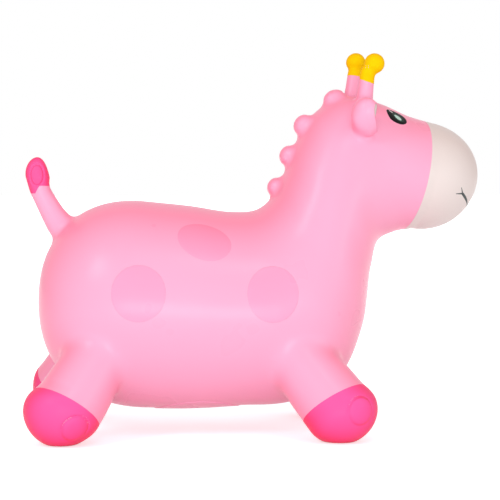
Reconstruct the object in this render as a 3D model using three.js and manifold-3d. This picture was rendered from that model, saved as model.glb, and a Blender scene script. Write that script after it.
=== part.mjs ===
// Inflatable bouncing giraffe for a small child.
// Millimetres, +Z up, the animal looks along +X and its left side is +Y.
// The hollow skin is lofted through ribs, joined with its lobes and divided where its colours change.
import * as THREE from 'three';
import { mergeVertices } from 'three/addons/utils/BufferGeometryUtils.js';
import Module from 'manifold-3d';

const wasm = await Module();
wasm.setup();

// Skin
const WALL = 2;
const SECTION_GAP = 0.3;
const PRINT_LIFT = 0.3;
const PRINT_THICKNESS = 0.4;

// Ribs of the body from the back to the edge of the muzzle, as they stand in side view:
// where each one meets the back line and the belly line, [forward, up], and half of its width.
const BODY_RIBS = [
  { back: [-129, 275], belly: [-130, 28.5], half: 111 },
  { back: [-72, 269], belly: [-72, 26.8], half: 112 },
  { back: [-22, 261.8], belly: [-17, 29], half: 110 },
  { back: [8, 264.5], belly: [48, 33], half: 107 },
  { back: [27, 280], belly: [104, 60], half: 102 },
  { back: [41, 308], belly: [133.5, 123], half: 92 },
  { back: [56, 346], belly: [143.5, 193], half: 80 },
  { back: [79, 381], belly: [152.5, 226.8], half: 72 },
  { back: [116, 400], belly: [173, 237.5], half: 68 },
  { back: [156, 394], belly: [185, 239.3], half: 67 },
  { back: [191, 378], belly: [192, 239.7], half: 66 },
  { back: [221, 369], belly: [197, 240.5], half: 64 },
];
const SADDLE_RIB = 3;
const NAPE_RIB = 7;

// Edge of the cream muzzle, where it meets the back line and the belly line
const MUZZLE_EDGE = { back: [212, 371], belly: [186, 239.5] };

// Domes that close the rump and the muzzle
const RUMP_END = [-252.5, 156];
const RUMP_FULLNESS = 2.25;
const MUZZLE_END = [279.5, 299];
const MUZZLE_FULLNESS = 2.05;

// The soft neck is turned a little to the animal's left
const HEAD_TURN = 9;
const TURN_AXIS_X = 100;
const TURN_HEADING = 30.5;
const TURN_START = 170;
const TURN_END = 280;

// Legs: stubs that taper from a ball-ended hoof to the body, set on the floor.
// Each one is set in from the middle of its hoof, and the hoof's paint ends on a plane with its own lean.
const HOOF_RADIUS = 43.5;
const LEG_RADIUS = 40.5;
const LEG_TOP_RADIUS = 39;
const LEG_SPREAD = 96;
const FRONT_LEG = { x: 97.5, lean: -38, setIn: 5.5, edge: 6, edgeLean: -30, toeTurn: 56, toeTilt: 0 };
const REAR_LEG = { x: -222, lean: 32, setIn: 4, edge: 4, edgeLean: 31, toeTurn: 68, toeTilt: -24 };
const LEG_SPLAY = 27;
const SOLE_FLAT = 3.5;
const SET_IN_FROM = -25;
const SET_IN_TO = 20;
const LEG_TAPER = 48;
const LEG_ROOT = 88;

// Two low toes on the front of each hoof
const TOE_HALF_HEIGHT = 16;
const TOE_HALF_WIDTH = 16;
const TOE_HALF_DEPTH = 7;
const TOE_RELIEF = 1.8;

// Tail: a tapered stem that ends in a tuft, as its rear and front edges stand in side view
const TAIL_RIBS = [
  { back: [-217, 200], belly: [-188, 234], half: 21 },
  { back: [-236.3, 231.5], belly: [-210, 255], half: 16.5 },
  { back: [-245.8, 250.5], belly: [-220, 263.5], half: 13.5 },
  { back: [-253.8, 268], belly: [-230, 277.5], half: 12 },
  { back: [-260.8, 284], belly: [-238.5, 293], half: 11.7 },
  { back: [-266.5, 303], belly: [-238.5, 303], half: 13.5 },
];
const TUFT_RIB = 4;
const TAIL_END = [-253, 327];
const TAIL_FULLNESS = 1.75;

// Mane: scallops along the back of the neck
const SCALLOPS = [
  { centre: [103.5, 392], radius: 16.2 },
  { centre: [66, 364], radius: 14.2 },
  { centre: [48.5, 328], radius: 13.5 },
  { centre: [33, 290.5], radius: 12.5 },
];
const SCALLOP_HALF_WIDTH = 14;

// Horns: soft stems with a knob set a little ahead; the left one stands taller and is painted less far down
const HORN_FOOT = [128, 28.5, 375];
const HORN_KNOB = [140.5, 36.5, 438];
const HORN_LIFT = { left: 5, right: 0 };
const KNOB_EDGE = { left: 16.3, right: 23 };
const HORN_RADIUS = 9;
const HORN_FLARE = 3.5;
const KNOB_RADIUS = 11.4;
const KNOB_AHEAD = { left: 0.5, right: 7 };
const KNOB_BEND = 20;

// Ears: leaves hollowed on the side that looks forward
const EAR_ROOT = [122, 348];
const EAR_LENGTH = 52;
const EAR_HALF_WIDTH = 14;
const EAR_HALF_DEPTH = 18;
const EAR_OUT = 22;
const EAR_BACK = 6;
const EAR_FACING = 18;
const EAR_FACE = 10;
const EAR_RIM = 2.4;
const EAR_HOLLOW = 8;
const LINING_THICKNESS = 1.2;

// Printed spots: centre as seen from the side, length, height and tilt
const SPOTS = [
  { name: 'rear', at: [-134, 173], size: [62, 65], tilt: 0 },
  { name: 'back', at: [-58, 231], size: [64, 52], tilt: -35 },
  { name: 'front', at: [19, 171], size: [59, 65], tilt: 0 },
];

// Printed eyes
const EYE_AT = [166.5, 42];
const EYE_SIZE = [29, 24];
const EYE_SLANT = 36;
const GLINT_SIZE = [10, 7];
const GLINT_AT = [1, 4];

// Printed smile, as seen from the front
const SMILE_RADIUS = 78;
const SMILE_CENTRE_Z = 342.7;
const SMILE_SWEEP = 41;
const SMILE_LINE = 2;
const DIMPLE_LENGTH = 10;
const SMILE_FROM_X = 226;

// Valve under the belly
const VALVE_X = -64;
const PAD_DIAMETER = 104;
const PAD_THICKNESS = 0.8;
const CUP_DIAMETER = 34;
const CUP_DEPTH = 3.5;
const COLLAR_DIAMETER = 20;
const COLLAR_HEIGHT = 14;
const BORE_DIAMETER = 14;
const PLUG_CLEARANCE = 0.3;
const PLUG_FLANGE_DIAMETER = 27;
const PLUG_FLANGE = 2.6;
const PLUG_STEM = 18;
const PLUG_GROOVE = 0.8;
const PLUG_TIP_RADIUS = 4.6;

// Fineness of the faces
const BODY_SIDES = 20;
const RINGS_PER_RIB = 2;
const TAIL_RINGS_PER_RIB = 1;
const DOME_RINGS = 5;
const HOOF_RINGS = 4;
const LEG_SIDES = 14;
const SMALL_SIDES = 10;
const PUNCH_SIDES = 16;
const TOE_SIDES = 8;
const TOE_RINGS = 6;

const SIDES = [
  { name: 'left', y: 1 },
  { name: 'right', y: -1 },
];
const X_AXIS = new THREE.Vector3(1, 0, 0);
const Y_AXIS = new THREE.Vector3(0, 1, 0);
const Z_AXIS = new THREE.Vector3(0, 0, 1);
const rad = THREE.MathUtils.degToRad;

// Solids

function cleaned(geometry) {
  const copy = geometry.clone();
  copy.deleteAttribute('normal');
  copy.deleteAttribute('uv');
  return mergeVertices(copy, 1e-4);
}

function solid(geometry) {
  const merged = cleaned(geometry);
  const vertProperties = new Float32Array(merged.attributes.position.array);
  const triVerts = new Uint32Array(merged.index.array);
  return new wasm.Manifold(new wasm.Mesh({ numProp: 3, vertProperties, triVerts }));
}

function joined(solids) {
  return solids.reduce((sum, next) => sum.add(next));
}

// A closed surface moved outwards, or inwards where the distance is negative
function offset(geometry, distance) {
  const merged = cleaned(geometry);
  merged.computeVertexNormals();
  const { position, normal } = merged.attributes;
  for (let i = 0; i < position.count; i += 1) {
    const point = new THREE.Vector3().fromBufferAttribute(position, i);
    point.addScaledVector(new THREE.Vector3().fromBufferAttribute(normal, i), distance);
    position.setXYZ(i, point.x, point.y, point.z);
  }
  return merged;
}

function placed(geometry, position, axis) {
  const turn = new THREE.Quaternion().setFromUnitVectors(Y_AXIS, axis);
  return geometry.applyQuaternion(turn).translate(position.x, position.y, position.z);
}

// A shape whose points move sideways by a smooth share of their height above a foot
function bent(geometry, foot, axis, from, to, shift) {
  const { position } = geometry.attributes;
  for (let i = 0; i < position.count; i += 1) {
    const point = new THREE.Vector3().fromBufferAttribute(position, i);
    const height = point.clone().sub(foot).dot(axis);
    point.addScaledVector(shift, THREE.MathUtils.smoothstep(height, from, to));
    position.setXYZ(i, point.x, point.y, point.z);
  }
  return geometry;
}

// A round bar from one point to another
function bar(from, to, radius, sides) {
  const axis = to.clone().sub(from);
  const middle = from.clone().lerp(to, 0.5);
  const geometry = new THREE.CylinderGeometry(radius, radius, axis.length(), sides);
  return solid(placed(geometry, middle, axis.normalize()));
}

// Lofts

function atSide([x, z]) {
  return new THREE.Vector3(x, 0, z);
}

function ringOf(back, belly, half) {
  const centre = back.clone().lerp(belly, 0.5);
  return { centre, up: back.clone().sub(centre), half };
}

// Rings through ribs: smooth back, belly and width lines, read at even shares of each bay
function ribRings(ribs, perRib) {
  const back = new THREE.CatmullRomCurve3(ribs.map((rib) => atSide(rib.back)));
  const belly = new THREE.CatmullRomCurve3(ribs.map((rib) => atSide(rib.belly)));
  const width = new THREE.CatmullRomCurve3(ribs.map((rib, i) => new THREE.Vector3(i, rib.half, 0)));
  const steps = (ribs.length - 1) * perRib;
  const rings = [];
  for (let i = 0; i <= steps; i += 1) {
    const t = i / steps;
    rings.push(ringOf(back.getPoint(t), belly.getPoint(t), width.getPoint(t).y));
  }
  return rings;
}

// Rings that close a loft from its last ring to a point, rounded as a superellipse.
// The dome leaves the loft in the direction in which the loft arrives.
function domeRings(previous, rim, end, fullness) {
  const heading = rim.centre.clone().sub(previous.centre).normalize();
  const reach = end.distanceTo(rim.centre);
  const control = rim.centre.clone().addScaledVector(heading, reach / 2);
  const spine = new THREE.QuadraticBezierCurve3(rim.centre, control, end);
  const rings = [];
  for (let i = 1; i <= DOME_RINGS; i += 1) {
    const angle = (Math.PI / 2) * (i / (DOME_RINGS + 0.35));
    const along = Math.sin(angle) ** (2 / fullness);
    const across = Math.cos(angle) ** (2 / fullness);
    const up = rim.up.clone().multiplyScalar(across);
    rings.push({ centre: spine.getPoint(along), up, half: rim.half * across });
  }
  return rings;
}

// One closed surface over rings that follow each other, with a point at each end
function loft(rings, start, end, sides) {
  const points = [start];
  for (const ring of rings) {
    for (let j = 0; j < sides; j += 1) {
      const angle = (2 * Math.PI * j) / sides;
      const point = ring.centre.clone().addScaledVector(ring.up, Math.cos(angle));
      points.push(point.addScaledVector(Y_AXIS, ring.half * Math.sin(angle)));
    }
  }
  points.push(end);
  const at = (i, j) => 1 + i * sides + (j % sides);
  const last = points.length - 1;
  const index = [];
  for (let j = 0; j < sides; j += 1) {
    index.push(0, at(0, j), at(0, j + 1));
    index.push(last, at(rings.length - 1, j + 1), at(rings.length - 1, j));
    for (let i = 0; i + 1 < rings.length; i += 1) {
      index.push(at(i, j), at(i + 1, j), at(i, j + 1));
      index.push(at(i, j + 1), at(i + 1, j), at(i + 1, j + 1));
    }
  }
  const geometry = new THREE.BufferGeometry().setFromPoints(points);
  geometry.setIndex(index);
  return geometry;
}

// The part of a solid in front of a ring, or behind it, less half the gap between sections
function inFrontOf(shape, ring, gap = SECTION_GAP) {
  const normal = new THREE.Vector3(ring.up.z, 0, -ring.up.x).normalize();
  return shape.trimByPlane(normal.toArray(), normal.dot(ring.centre) + gap / 2);
}

function behind(shape, ring, gap = SECTION_GAP) {
  const normal = new THREE.Vector3(-ring.up.z, 0, ring.up.x).normalize();
  return shape.trimByPlane(normal.toArray(), normal.dot(ring.centre) + gap / 2);
}

// Body

const barrelToMuzzle = ribRings(BODY_RIBS, RINGS_PER_RIB);
const ribRing = (rib) => barrelToMuzzle[rib * RINGS_PER_RIB];
const rumpRings = domeRings(barrelToMuzzle[1], barrelToMuzzle[0], atSide(RUMP_END), RUMP_FULLNESS);
const [cheekRing, lipRing] = barrelToMuzzle.slice(-2);
const muzzleRings = domeRings(cheekRing, lipRing, atSide(MUZZLE_END), MUZZLE_FULLNESS);
const muzzleEdge = ringOf(atSide(MUZZLE_EDGE.back), atSide(MUZZLE_EDGE.belly), 0);
const bodyRings = [...rumpRings.reverse(), ...barrelToMuzzle, ...muzzleRings];
const bodyShape = loft(bodyRings, atSide(RUMP_END), atSide(MUZZLE_END), BODY_SIDES);
const bodyOuter = solid(bodyShape);
const bodyInner = solid(offset(bodyShape, -WALL));
const bodyClear = solid(offset(bodyShape, SECTION_GAP));

// A point of the body's surface, found along a ray, and the direction in which the skin faces there
const bodyMesh = new THREE.Mesh(bodyShape, new THREE.MeshStandardMaterial());
function onBody(from, direction) {
  const hit = new THREE.Raycaster(from, direction).intersectObject(bodyMesh)[0];
  return { point: hit.point, normal: hit.face.normal.clone() };
}

function fromSide(x, z, y) {
  return onBody(new THREE.Vector3(x, y * LEG_ROOT * 4, z), new THREE.Vector3(0, -y, 0));
}

function fromAbove(x, y) {
  return onBody(new THREE.Vector3(x, y, HORN_KNOB[2] * 2), new THREE.Vector3(0, 0, -1));
}

// Legs

function legAxis(lean, side) {
  return new THREE.Vector3(Math.tan(rad(lean)), -side * Math.tan(rad(LEG_SPLAY)), 1).normalize();
}

function legShape(foot, axis, shift) {
  const profile = [new THREE.Vector2(0, -HOOF_RADIUS)];
  for (let i = 1; i <= HOOF_RINGS; i += 1) {
    const angle = (Math.PI / 2) * (i / HOOF_RINGS);
    profile.push(new THREE.Vector2(HOOF_RADIUS * Math.sin(angle), -HOOF_RADIUS * Math.cos(angle)));
  }
  profile.push(new THREE.Vector2(LEG_RADIUS, SET_IN_TO));
  profile.push(new THREE.Vector2(LEG_TOP_RADIUS, LEG_TAPER));
  profile.push(new THREE.Vector2(LEG_TOP_RADIUS, LEG_ROOT));
  profile.push(new THREE.Vector2(0, LEG_ROOT));
  const straight = placed(new THREE.LatheGeometry(profile, LEG_SIDES), foot, axis);
  return bent(straight, foot, axis, SET_IN_FROM, SET_IN_TO, shift);
}

function toeShape(foot, turn, tilt) {
  const level = Math.cos(rad(tilt));
  const ahead = level * Math.cos(rad(turn));
  const aside = level * Math.sin(rad(turn));
  const facing = new THREE.Vector3(ahead, aside, Math.sin(rad(tilt)));
  const toe = new THREE.SphereGeometry(1, TOE_SIDES, TOE_RINGS);
  toe.scale(TOE_HALF_WIDTH, TOE_HALF_DEPTH, TOE_HALF_HEIGHT);
  const centre = foot.clone().addScaledVector(facing, HOOF_RADIUS + TOE_RELIEF - TOE_HALF_DEPTH);
  return solid(placed(toe, centre, facing));
}

function leg({ x, lean, setIn, edge, edgeLean, toeTurn, toeTilt }, side) {
  const foot = new THREE.Vector3(x, side * LEG_SPREAD, HOOF_RADIUS - SOLE_FLAT);
  const axis = legAxis(lean, side);
  const inward = X_AXIS.clone().projectOnPlane(axis).setLength(Math.sign(lean) * setIn);
  const shape = legShape(foot, axis, inward);
  const toes = [toeTurn, -toeTurn].map((turn) => toeShape(foot, turn, toeTilt));
  const parts = [solid(shape), ...toes];
  const outer = joined(parts).trimByPlane(Z_AXIS.toArray(), 0);
  const inner = solid(offset(shape, -WALL)).trimByPlane(Z_AXIS.toArray(), WALL);
  const clear = solid(offset(shape, SECTION_GAP));
  const edgeAxis = legAxis(edgeLean, side);
  const hoofEdge = edgeAxis.dot(foot) + edge;
  return { outer, inner, clear, edgeAxis, hoofEdge };
}

const legs = {};
for (const { name, y } of SIDES) {
  legs[`front_${name}`] = leg(FRONT_LEG, y);
  legs[`rear_${name}`] = leg(REAR_LEG, y);
}
const allLegs = Object.values(legs);

// Tail

const tailStem = ribRings(TAIL_RIBS, TAIL_RINGS_PER_RIB);
const tailDome = domeRings(tailStem.at(-2), tailStem.at(-1), atSide(TAIL_END), TAIL_FULLNESS);
const tailShape = loft([...tailStem, ...tailDome], tailStem[0].centre, atSide(TAIL_END), SMALL_SIDES);
const tailInner = solid(offset(tailShape, -WALL));
const tail = solid(tailShape).subtract(tailInner).subtract(bodyClear);
const tuftRing = tailStem[TUFT_RIB * TAIL_RINGS_PER_RIB];

// Mane

function scallop({ centre, radius }) {
  const ball = new THREE.SphereGeometry(1, SMALL_SIDES, SMALL_SIDES / 2);
  ball.scale(radius, SCALLOP_HALF_WIDTH, radius).translate(centre[0], 0, centre[1]);
  return solid(ball).subtract(bodyClear);
}

// Horns

function hornProfile(length) {
  const shoulder = Math.asin(HORN_RADIUS / KNOB_RADIUS);
  const profile = [
    new THREE.Vector2(0, 0),
    new THREE.Vector2(HORN_RADIUS + HORN_FLARE, 0),
    new THREE.Vector2(HORN_RADIUS + HORN_FLARE / 3, length / 3),
    new THREE.Vector2(HORN_RADIUS, length - KNOB_BEND),
  ];
  for (let i = 0; i <= DOME_RINGS; i += 1) {
    const angle = shoulder + (Math.PI - shoulder) * (i / DOME_RINGS);
    const radius = i === DOME_RINGS ? 0 : KNOB_RADIUS * Math.sin(angle);
    profile.push(new THREE.Vector2(radius, length - KNOB_RADIUS * Math.cos(angle)));
  }
  return profile;
}

function horn(name, side) {
  const foot = new THREE.Vector3(HORN_FOOT[0], side * HORN_FOOT[1], HORN_FOOT[2]);
  const knob = new THREE.Vector3(HORN_KNOB[0], side * HORN_KNOB[1], HORN_KNOB[2] + HORN_LIFT[name]);
  const ahead = X_AXIS.clone().multiplyScalar(KNOB_AHEAD[name]);
  const axis = knob.clone().sub(ahead).sub(foot);
  const length = axis.length();
  axis.normalize();
  const straight = placed(new THREE.LatheGeometry(hornProfile(length), SMALL_SIDES), foot, axis);
  const shape = bent(straight, foot, axis, length - KNOB_BEND, length - KNOB_RADIUS / 2, ahead);
  const inner = solid(offset(shape, -WALL));
  const skin = solid(shape).subtract(inner).subtract(bodyClear);
  const line = axis.dot(foot) + length - KNOB_EDGE[name];
  const down = axis.clone().negate();
  return {
    inner,
    stem: skin.trimByPlane(down.toArray(), -line + SECTION_GAP / 2),
    knob: skin.trimByPlane(axis.toArray(), line + SECTION_GAP / 2),
  };
}

const horns = Object.fromEntries(SIDES.map(({ name, y }) => [name, horn(name, y)]));

// Ears

function ear(side) {
  const root = fromSide(EAR_ROOT[0], EAR_ROOT[1], side).point;
  const axis = new THREE.Vector3(-Math.tan(rad(EAR_BACK)), side * Math.tan(rad(EAR_OUT)), 1).normalize();
  const middle = root.clone().addScaledVector(axis, EAR_LENGTH / 2);
  const facing = new THREE.Vector3(Math.cos(rad(EAR_FACING)), side * Math.sin(rad(EAR_FACING)), 0);
  const front = facing.addScaledVector(axis, -facing.dot(axis)).normalize();
  const across = new THREE.Vector3().crossVectors(axis, front);
  const frame = new THREE.Matrix4().makeBasis(front, across, axis);
  const leaf = (depth, width, length, ahead) => {
    const ball = new THREE.SphereGeometry(1, SMALL_SIDES, SMALL_SIDES - 4);
    ball.rotateX(Math.PI / 2).scale(depth, width, length);
    const centre = middle.clone().addScaledVector(front, ahead);
    return solid(ball.applyMatrix4(frame).translate(centre.x, centre.y, centre.z));
  };
  const faceShare = Math.sqrt(1 - (EAR_FACE / EAR_HALF_DEPTH) ** 2);
  const hollow = (margin) => leaf(
    EAR_HOLLOW + margin,
    EAR_HALF_WIDTH * faceShare - EAR_RIM + margin,
    (EAR_LENGTH / 2) * faceShare - EAR_RIM + margin,
    EAR_FACE,
  );
  const behindFace = (shape) => shape.trimByPlane(
    front.clone().negate().toArray(),
    -front.dot(middle) - EAR_FACE,
  );
  const blank = leaf(EAR_HALF_DEPTH, EAR_HALF_WIDTH, EAR_LENGTH / 2, 0).subtract(bodyClear);
  const dish = hollow(0).subtract(hollow(-LINING_THICKNESS)).subtract(bodyClear);
  return {
    skin: behindFace(blank).subtract(hollow(SECTION_GAP)),
    lining: behindFace(dish),
  };
}

const ears = Object.fromEntries(SIDES.map(({ name, y }) => [name, ear(y)]));

// Prints

function film(lift, thickness) {
  return solid(offset(bodyShape, lift + thickness)).subtract(solid(offset(bodyShape, lift)));
}

// An oval punch square to the skin, its length along the heading
function ovalPunch({ point, normal }, [length, height], heading, shift = [0, 0]) {
  const along = heading.clone().addScaledVector(normal, -heading.dot(normal)).normalize();
  const up = new THREE.Vector3().crossVectors(normal, along);
  const depth = length / 2;
  const punch = new THREE.CylinderGeometry(1, 1, depth * 2, PUNCH_SIDES);
  punch.scale(length / 2, 1, height / 2);
  const frame = new THREE.Matrix4().makeBasis(along, normal, along.clone().cross(normal));
  const centre = point.clone().addScaledVector(along, shift[0]).addScaledVector(up, shift[1]);
  return solid(punch.applyMatrix4(frame).translate(centre.x, centre.y, centre.z));
}

const print = film(PRINT_LIFT, PRINT_THICKNESS);
const overprint = film(PRINT_LIFT * 2 + PRINT_THICKNESS, PRINT_THICKNESS);

function spot({ at, size, tilt }, side) {
  const heading = new THREE.Vector3(Math.cos(rad(tilt)), 0, Math.sin(rad(tilt)));
  return print.intersect(ovalPunch(fromSide(at[0], at[1], side), size, heading));
}

function eye(side) {
  const seat = fromAbove(EYE_AT[0], side * EYE_AT[1]);
  const heading = new THREE.Vector3(Math.cos(rad(EYE_SLANT)), side * Math.sin(rad(EYE_SLANT)), 0);
  return {
    iris: print.intersect(ovalPunch(seat, EYE_SIZE, heading)),
    glint: overprint.intersect(ovalPunch(seat, GLINT_SIZE, heading, [GLINT_AT[0], side * GLINT_AT[1]])),
  };
}

const eyes = Object.fromEntries(SIDES.map(({ name, y }) => [name, eye(y)]));

// The smile is an arc with a short cross stroke at each end, thrown forwards onto the muzzle
function smile() {
  const sweep = rad(SMILE_SWEEP);
  const arc = new THREE.Shape();
  const middle = -Math.PI / 2;
  arc.absarc(0, 0, SMILE_RADIUS + SMILE_LINE / 2, middle - sweep, middle + sweep, false);
  arc.absarc(0, 0, SMILE_RADIUS - SMILE_LINE / 2, middle + sweep, middle - sweep, true);
  const depth = (MUZZLE_END[0] - SMILE_FROM_X) * 2;
  const strokes = [new THREE.ExtrudeGeometry(arc, { depth, bevelEnabled: false, curveSegments: TOE_SIDES })];
  for (const { y } of SIDES) {
    const dimple = new THREE.BoxGeometry(DIMPLE_LENGTH, SMILE_LINE, depth);
    dimple.translate(SMILE_RADIUS, 0, depth / 2);
    strokes.push(dimple.rotateZ(middle + y * sweep));
  }
  const frame = new THREE.Matrix4().makeBasis(Y_AXIS, Z_AXIS, X_AXIS);
  frame.setPosition(SMILE_FROM_X, 0, SMILE_CENTRE_Z);
  return print.intersect(joined(strokes.map((stroke) => solid(stroke.applyMatrix4(frame)))));
}

// Valve

const belly = onBody(new THREE.Vector3(VALVE_X, 0, -HOOF_RADIUS), Z_AXIS).point;
const cupFloor = belly.z + CUP_DEPTH;
const overFloor = (height) => new THREE.Vector3(VALVE_X, 0, cupFloor + height);
const cupOuter = CUP_DIAMETER / 2 + WALL;

function valvePad() {
  const below = -CUP_DEPTH - PAD_THICKNESS * 2;
  const disc = film(SECTION_GAP, PAD_THICKNESS);
  const punch = bar(overFloor(below), overFloor(PAD_DIAMETER / 2), PAD_DIAMETER / 2, BODY_SIDES);
  const cup = bar(overFloor(-CUP_DEPTH), overFloor(WALL), cupOuter, PUNCH_SIDES);
  const recess = bar(overFloor(below), overFloor(0), CUP_DIAMETER / 2, PUNCH_SIDES);
  const collar = bar(overFloor(0), overFloor(COLLAR_HEIGHT), COLLAR_DIAMETER / 2, PUNCH_SIDES);
  const bore = bar(overFloor(below), overFloor(COLLAR_HEIGHT * 2), BORE_DIAMETER / 2, PUNCH_SIDES);
  return joined([disc.intersect(punch), cup, collar]).subtract(recess).subtract(bore);
}

const valveHole = bar(
  overFloor(-CUP_DEPTH * 2),
  overFloor(COLLAR_HEIGHT),
  cupOuter + SECTION_GAP,
  PUNCH_SIDES,
);

function airPlug() {
  const stem = BORE_DIAMETER / 2 - PLUG_CLEARANCE;
  const flange = PLUG_FLANGE_DIAMETER / 2;
  const shoulder = cupFloor - SECTION_GAP;
  const profile = [
    [0, -PLUG_FLANGE + PLUG_GROOVE],
    [flange * 0.6, -PLUG_FLANGE],
    [flange - PLUG_GROOVE, -PLUG_FLANGE],
    [flange, -PLUG_FLANGE / 2],
    [flange - PLUG_GROOVE, 0],
    [stem, 0],
    [stem, PLUG_STEM * 0.3],
    [stem - PLUG_GROOVE, PLUG_STEM * 0.36],
    [stem, PLUG_STEM * 0.42],
    [stem, PLUG_STEM * 0.6],
    [stem - PLUG_GROOVE, PLUG_STEM * 0.66],
    [stem, PLUG_STEM * 0.72],
    [PLUG_TIP_RADIUS, PLUG_STEM],
    [0, PLUG_STEM],
  ].map(([radius, height]) => new THREE.Vector2(radius, height));
  const geometry = new THREE.LatheGeometry(profile, PUNCH_SIDES);
  return solid(placed(geometry, new THREE.Vector3(VALVE_X, 0, shoulder), Z_AXIS));
}

// Sections of the skin

const hollow = joined([bodyInner, ...allLegs.map((part) => part.inner)]);
const lobeMouths = [tailInner, ...SIDES.map(({ name }) => horns[name].inner)];
const trunk = bodyOuter
  .subtract(hollow)
  .subtract(joined(allLegs.map((part) => part.clear)))
  .subtract(joined(lobeMouths))
  .subtract(valveHole);

// Turning the neck

const turnHeading = new THREE.Vector3(Math.cos(rad(TURN_HEADING)), 0, Math.sin(rad(TURN_HEADING)));
function turned(point) {
  const share = THREE.MathUtils.smoothstep(point.dot(turnHeading), TURN_START, TURN_END);
  const axis = new THREE.Vector3(TURN_AXIS_X, 0, 0);
  return point.clone().sub(axis).applyAxisAngle(Z_AXIS, rad(HEAD_TURN) * share).add(axis);
}

function geometryOf(shape) {
  const { vertProperties, triVerts } = shape.getMesh();
  const points = [];
  for (let i = 0; i < vertProperties.length; i += 3) {
    points.push(turned(new THREE.Vector3().fromArray(vertProperties, i)));
  }
  const geometry = new THREE.BufferGeometry().setFromPoints(points);
  geometry.setIndex(Array.from(triVerts));
  geometry.computeVertexNormals();
  return geometry;
}

// Finishes

const FINISHES = {
  skin: { color: 0xfbb4d5, roughness: 0.42 },
  hoof: { color: 0xff55a4, roughness: 0.4 },
  tuft: { color: 0xff3f8c, roughness: 0.4 },
  knob: { color: 0xffcc00, roughness: 0.4 },
  cream: { color: 0xf1e5e0, roughness: 0.45 },
  spot: { color: 0xf99fc8, roughness: 0.42 },
  eye: { color: 0x17191a, roughness: 0.3 },
  glint: { color: 0xcfe6de, roughness: 0.3 },
  line: { color: 0x4c5558, roughness: 0.5 },
  plug: { color: 0xf4f1ee, roughness: 0.5 },
};

const giraffe = new THREE.Group();
function add(name, shape, finish) {
  const material = new THREE.MeshStandardMaterial({ ...FINISHES[finish], metalness: 0 });
  const mesh = new THREE.Mesh(geometryOf(shape), material);
  mesh.name = name;
  giraffe.add(mesh);
}

const frontOfSaddle = inFrontOf(trunk, ribRing(SADDLE_RIB));
const frontOfNape = inFrontOf(frontOfSaddle, ribRing(NAPE_RIB));
add('barrel_skin', behind(trunk, ribRing(SADDLE_RIB)), 'skin');
add('neck_skin', behind(frontOfSaddle, ribRing(NAPE_RIB)), 'skin');
add('head_skin', behind(frontOfNape, muzzleEdge), 'skin');
add('muzzle_skin', inFrontOf(frontOfNape, muzzleEdge), 'cream');
for (const [name, part] of Object.entries(legs)) {
  const limb = part.outer.subtract(hollow);
  const down = part.edgeAxis.clone().negate();
  add(`leg_${name}`, limb.trimByPlane(part.edgeAxis.toArray(), part.hoofEdge + SECTION_GAP / 2), 'skin');
  add(`hoof_${name}`, limb.trimByPlane(down.toArray(), -part.hoofEdge + SECTION_GAP / 2), 'hoof');
}
add('tail_skin', behind(tail, tuftRing), 'skin');
add('tail_tuft', inFrontOf(tail, tuftRing), 'tuft');
SCALLOPS.forEach((part, i) => add(`mane_${i + 1}`, scallop(part), 'skin'));
for (const { name, y } of SIDES) {
  add(`horn_${name}`, horns[name].stem, 'skin');
  add(`horn_knob_${name}`, horns[name].knob, 'knob');
  add(`ear_${name}`, ears[name].skin, 'skin');
  add(`ear_lining_${name}`, ears[name].lining, 'cream');
  SPOTS.forEach((mark) => add(`spot_${mark.name}_${name}`, spot(mark, y), 'spot'));
  add(`eye_${name}`, eyes[name].iris, 'eye');
  add(`eye_glint_${name}`, eyes[name].glint, 'glint');
}
add('smile', smile(), 'line');
add('valve_pad', valvePad(), 'skin');
add('air_plug', airPlug(), 'plug');

// The middle of the toy's length stands over the origin
const extent = new THREE.Box3().setFromObject(giraffe);
giraffe.position.x = -(extent.min.x + extent.max.x) / 2;

export default giraffe;
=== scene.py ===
# %% [markdown]
# # A giraffe to bounce on
# The toy is one hollow skin of soft PVC, blown up with air. A child sits behind the neck, holds on
# to it and hops. Legs, tail, horns and mane are bumps of the same skin, so nothing on it has a hard
# corner. The solids that come with it fix every place and size. This script dresses them: it lofts
# the same skin finely, melts the bumps into it, sprays the colours on and lights the result like a
# catalogue picture.

# %% Load the frame
import math

import bmesh
import bpy
import numpy as np
from mathutils import Euler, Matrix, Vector
from mathutils.bvhtree import BVHTree


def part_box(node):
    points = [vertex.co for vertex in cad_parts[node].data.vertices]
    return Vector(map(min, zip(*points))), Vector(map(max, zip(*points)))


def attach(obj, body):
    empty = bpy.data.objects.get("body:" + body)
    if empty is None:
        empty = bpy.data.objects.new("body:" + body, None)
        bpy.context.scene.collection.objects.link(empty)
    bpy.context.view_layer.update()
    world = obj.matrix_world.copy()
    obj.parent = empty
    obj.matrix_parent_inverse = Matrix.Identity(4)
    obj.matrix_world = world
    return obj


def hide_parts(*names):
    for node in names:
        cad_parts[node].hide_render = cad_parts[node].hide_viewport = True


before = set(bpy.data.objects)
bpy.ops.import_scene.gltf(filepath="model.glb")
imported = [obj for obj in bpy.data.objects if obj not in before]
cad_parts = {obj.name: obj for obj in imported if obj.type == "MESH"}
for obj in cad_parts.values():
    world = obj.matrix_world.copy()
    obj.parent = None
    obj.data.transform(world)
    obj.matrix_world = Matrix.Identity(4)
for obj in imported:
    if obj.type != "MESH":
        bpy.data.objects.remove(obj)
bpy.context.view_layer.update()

MM = 0.001

# %% [markdown]
# ## Smooth lines
# The skin is a loft: a row of ribs, each given by the point where it meets the back, the point
# where it meets the belly, and half of its width. Between the ribs the three lines have to be
# smooth. A Bezier curve object could do that, but a Catmull-Rom spline passes through the given
# points by itself, with no handles to set, and a few lines of numpy evaluate it.

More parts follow.
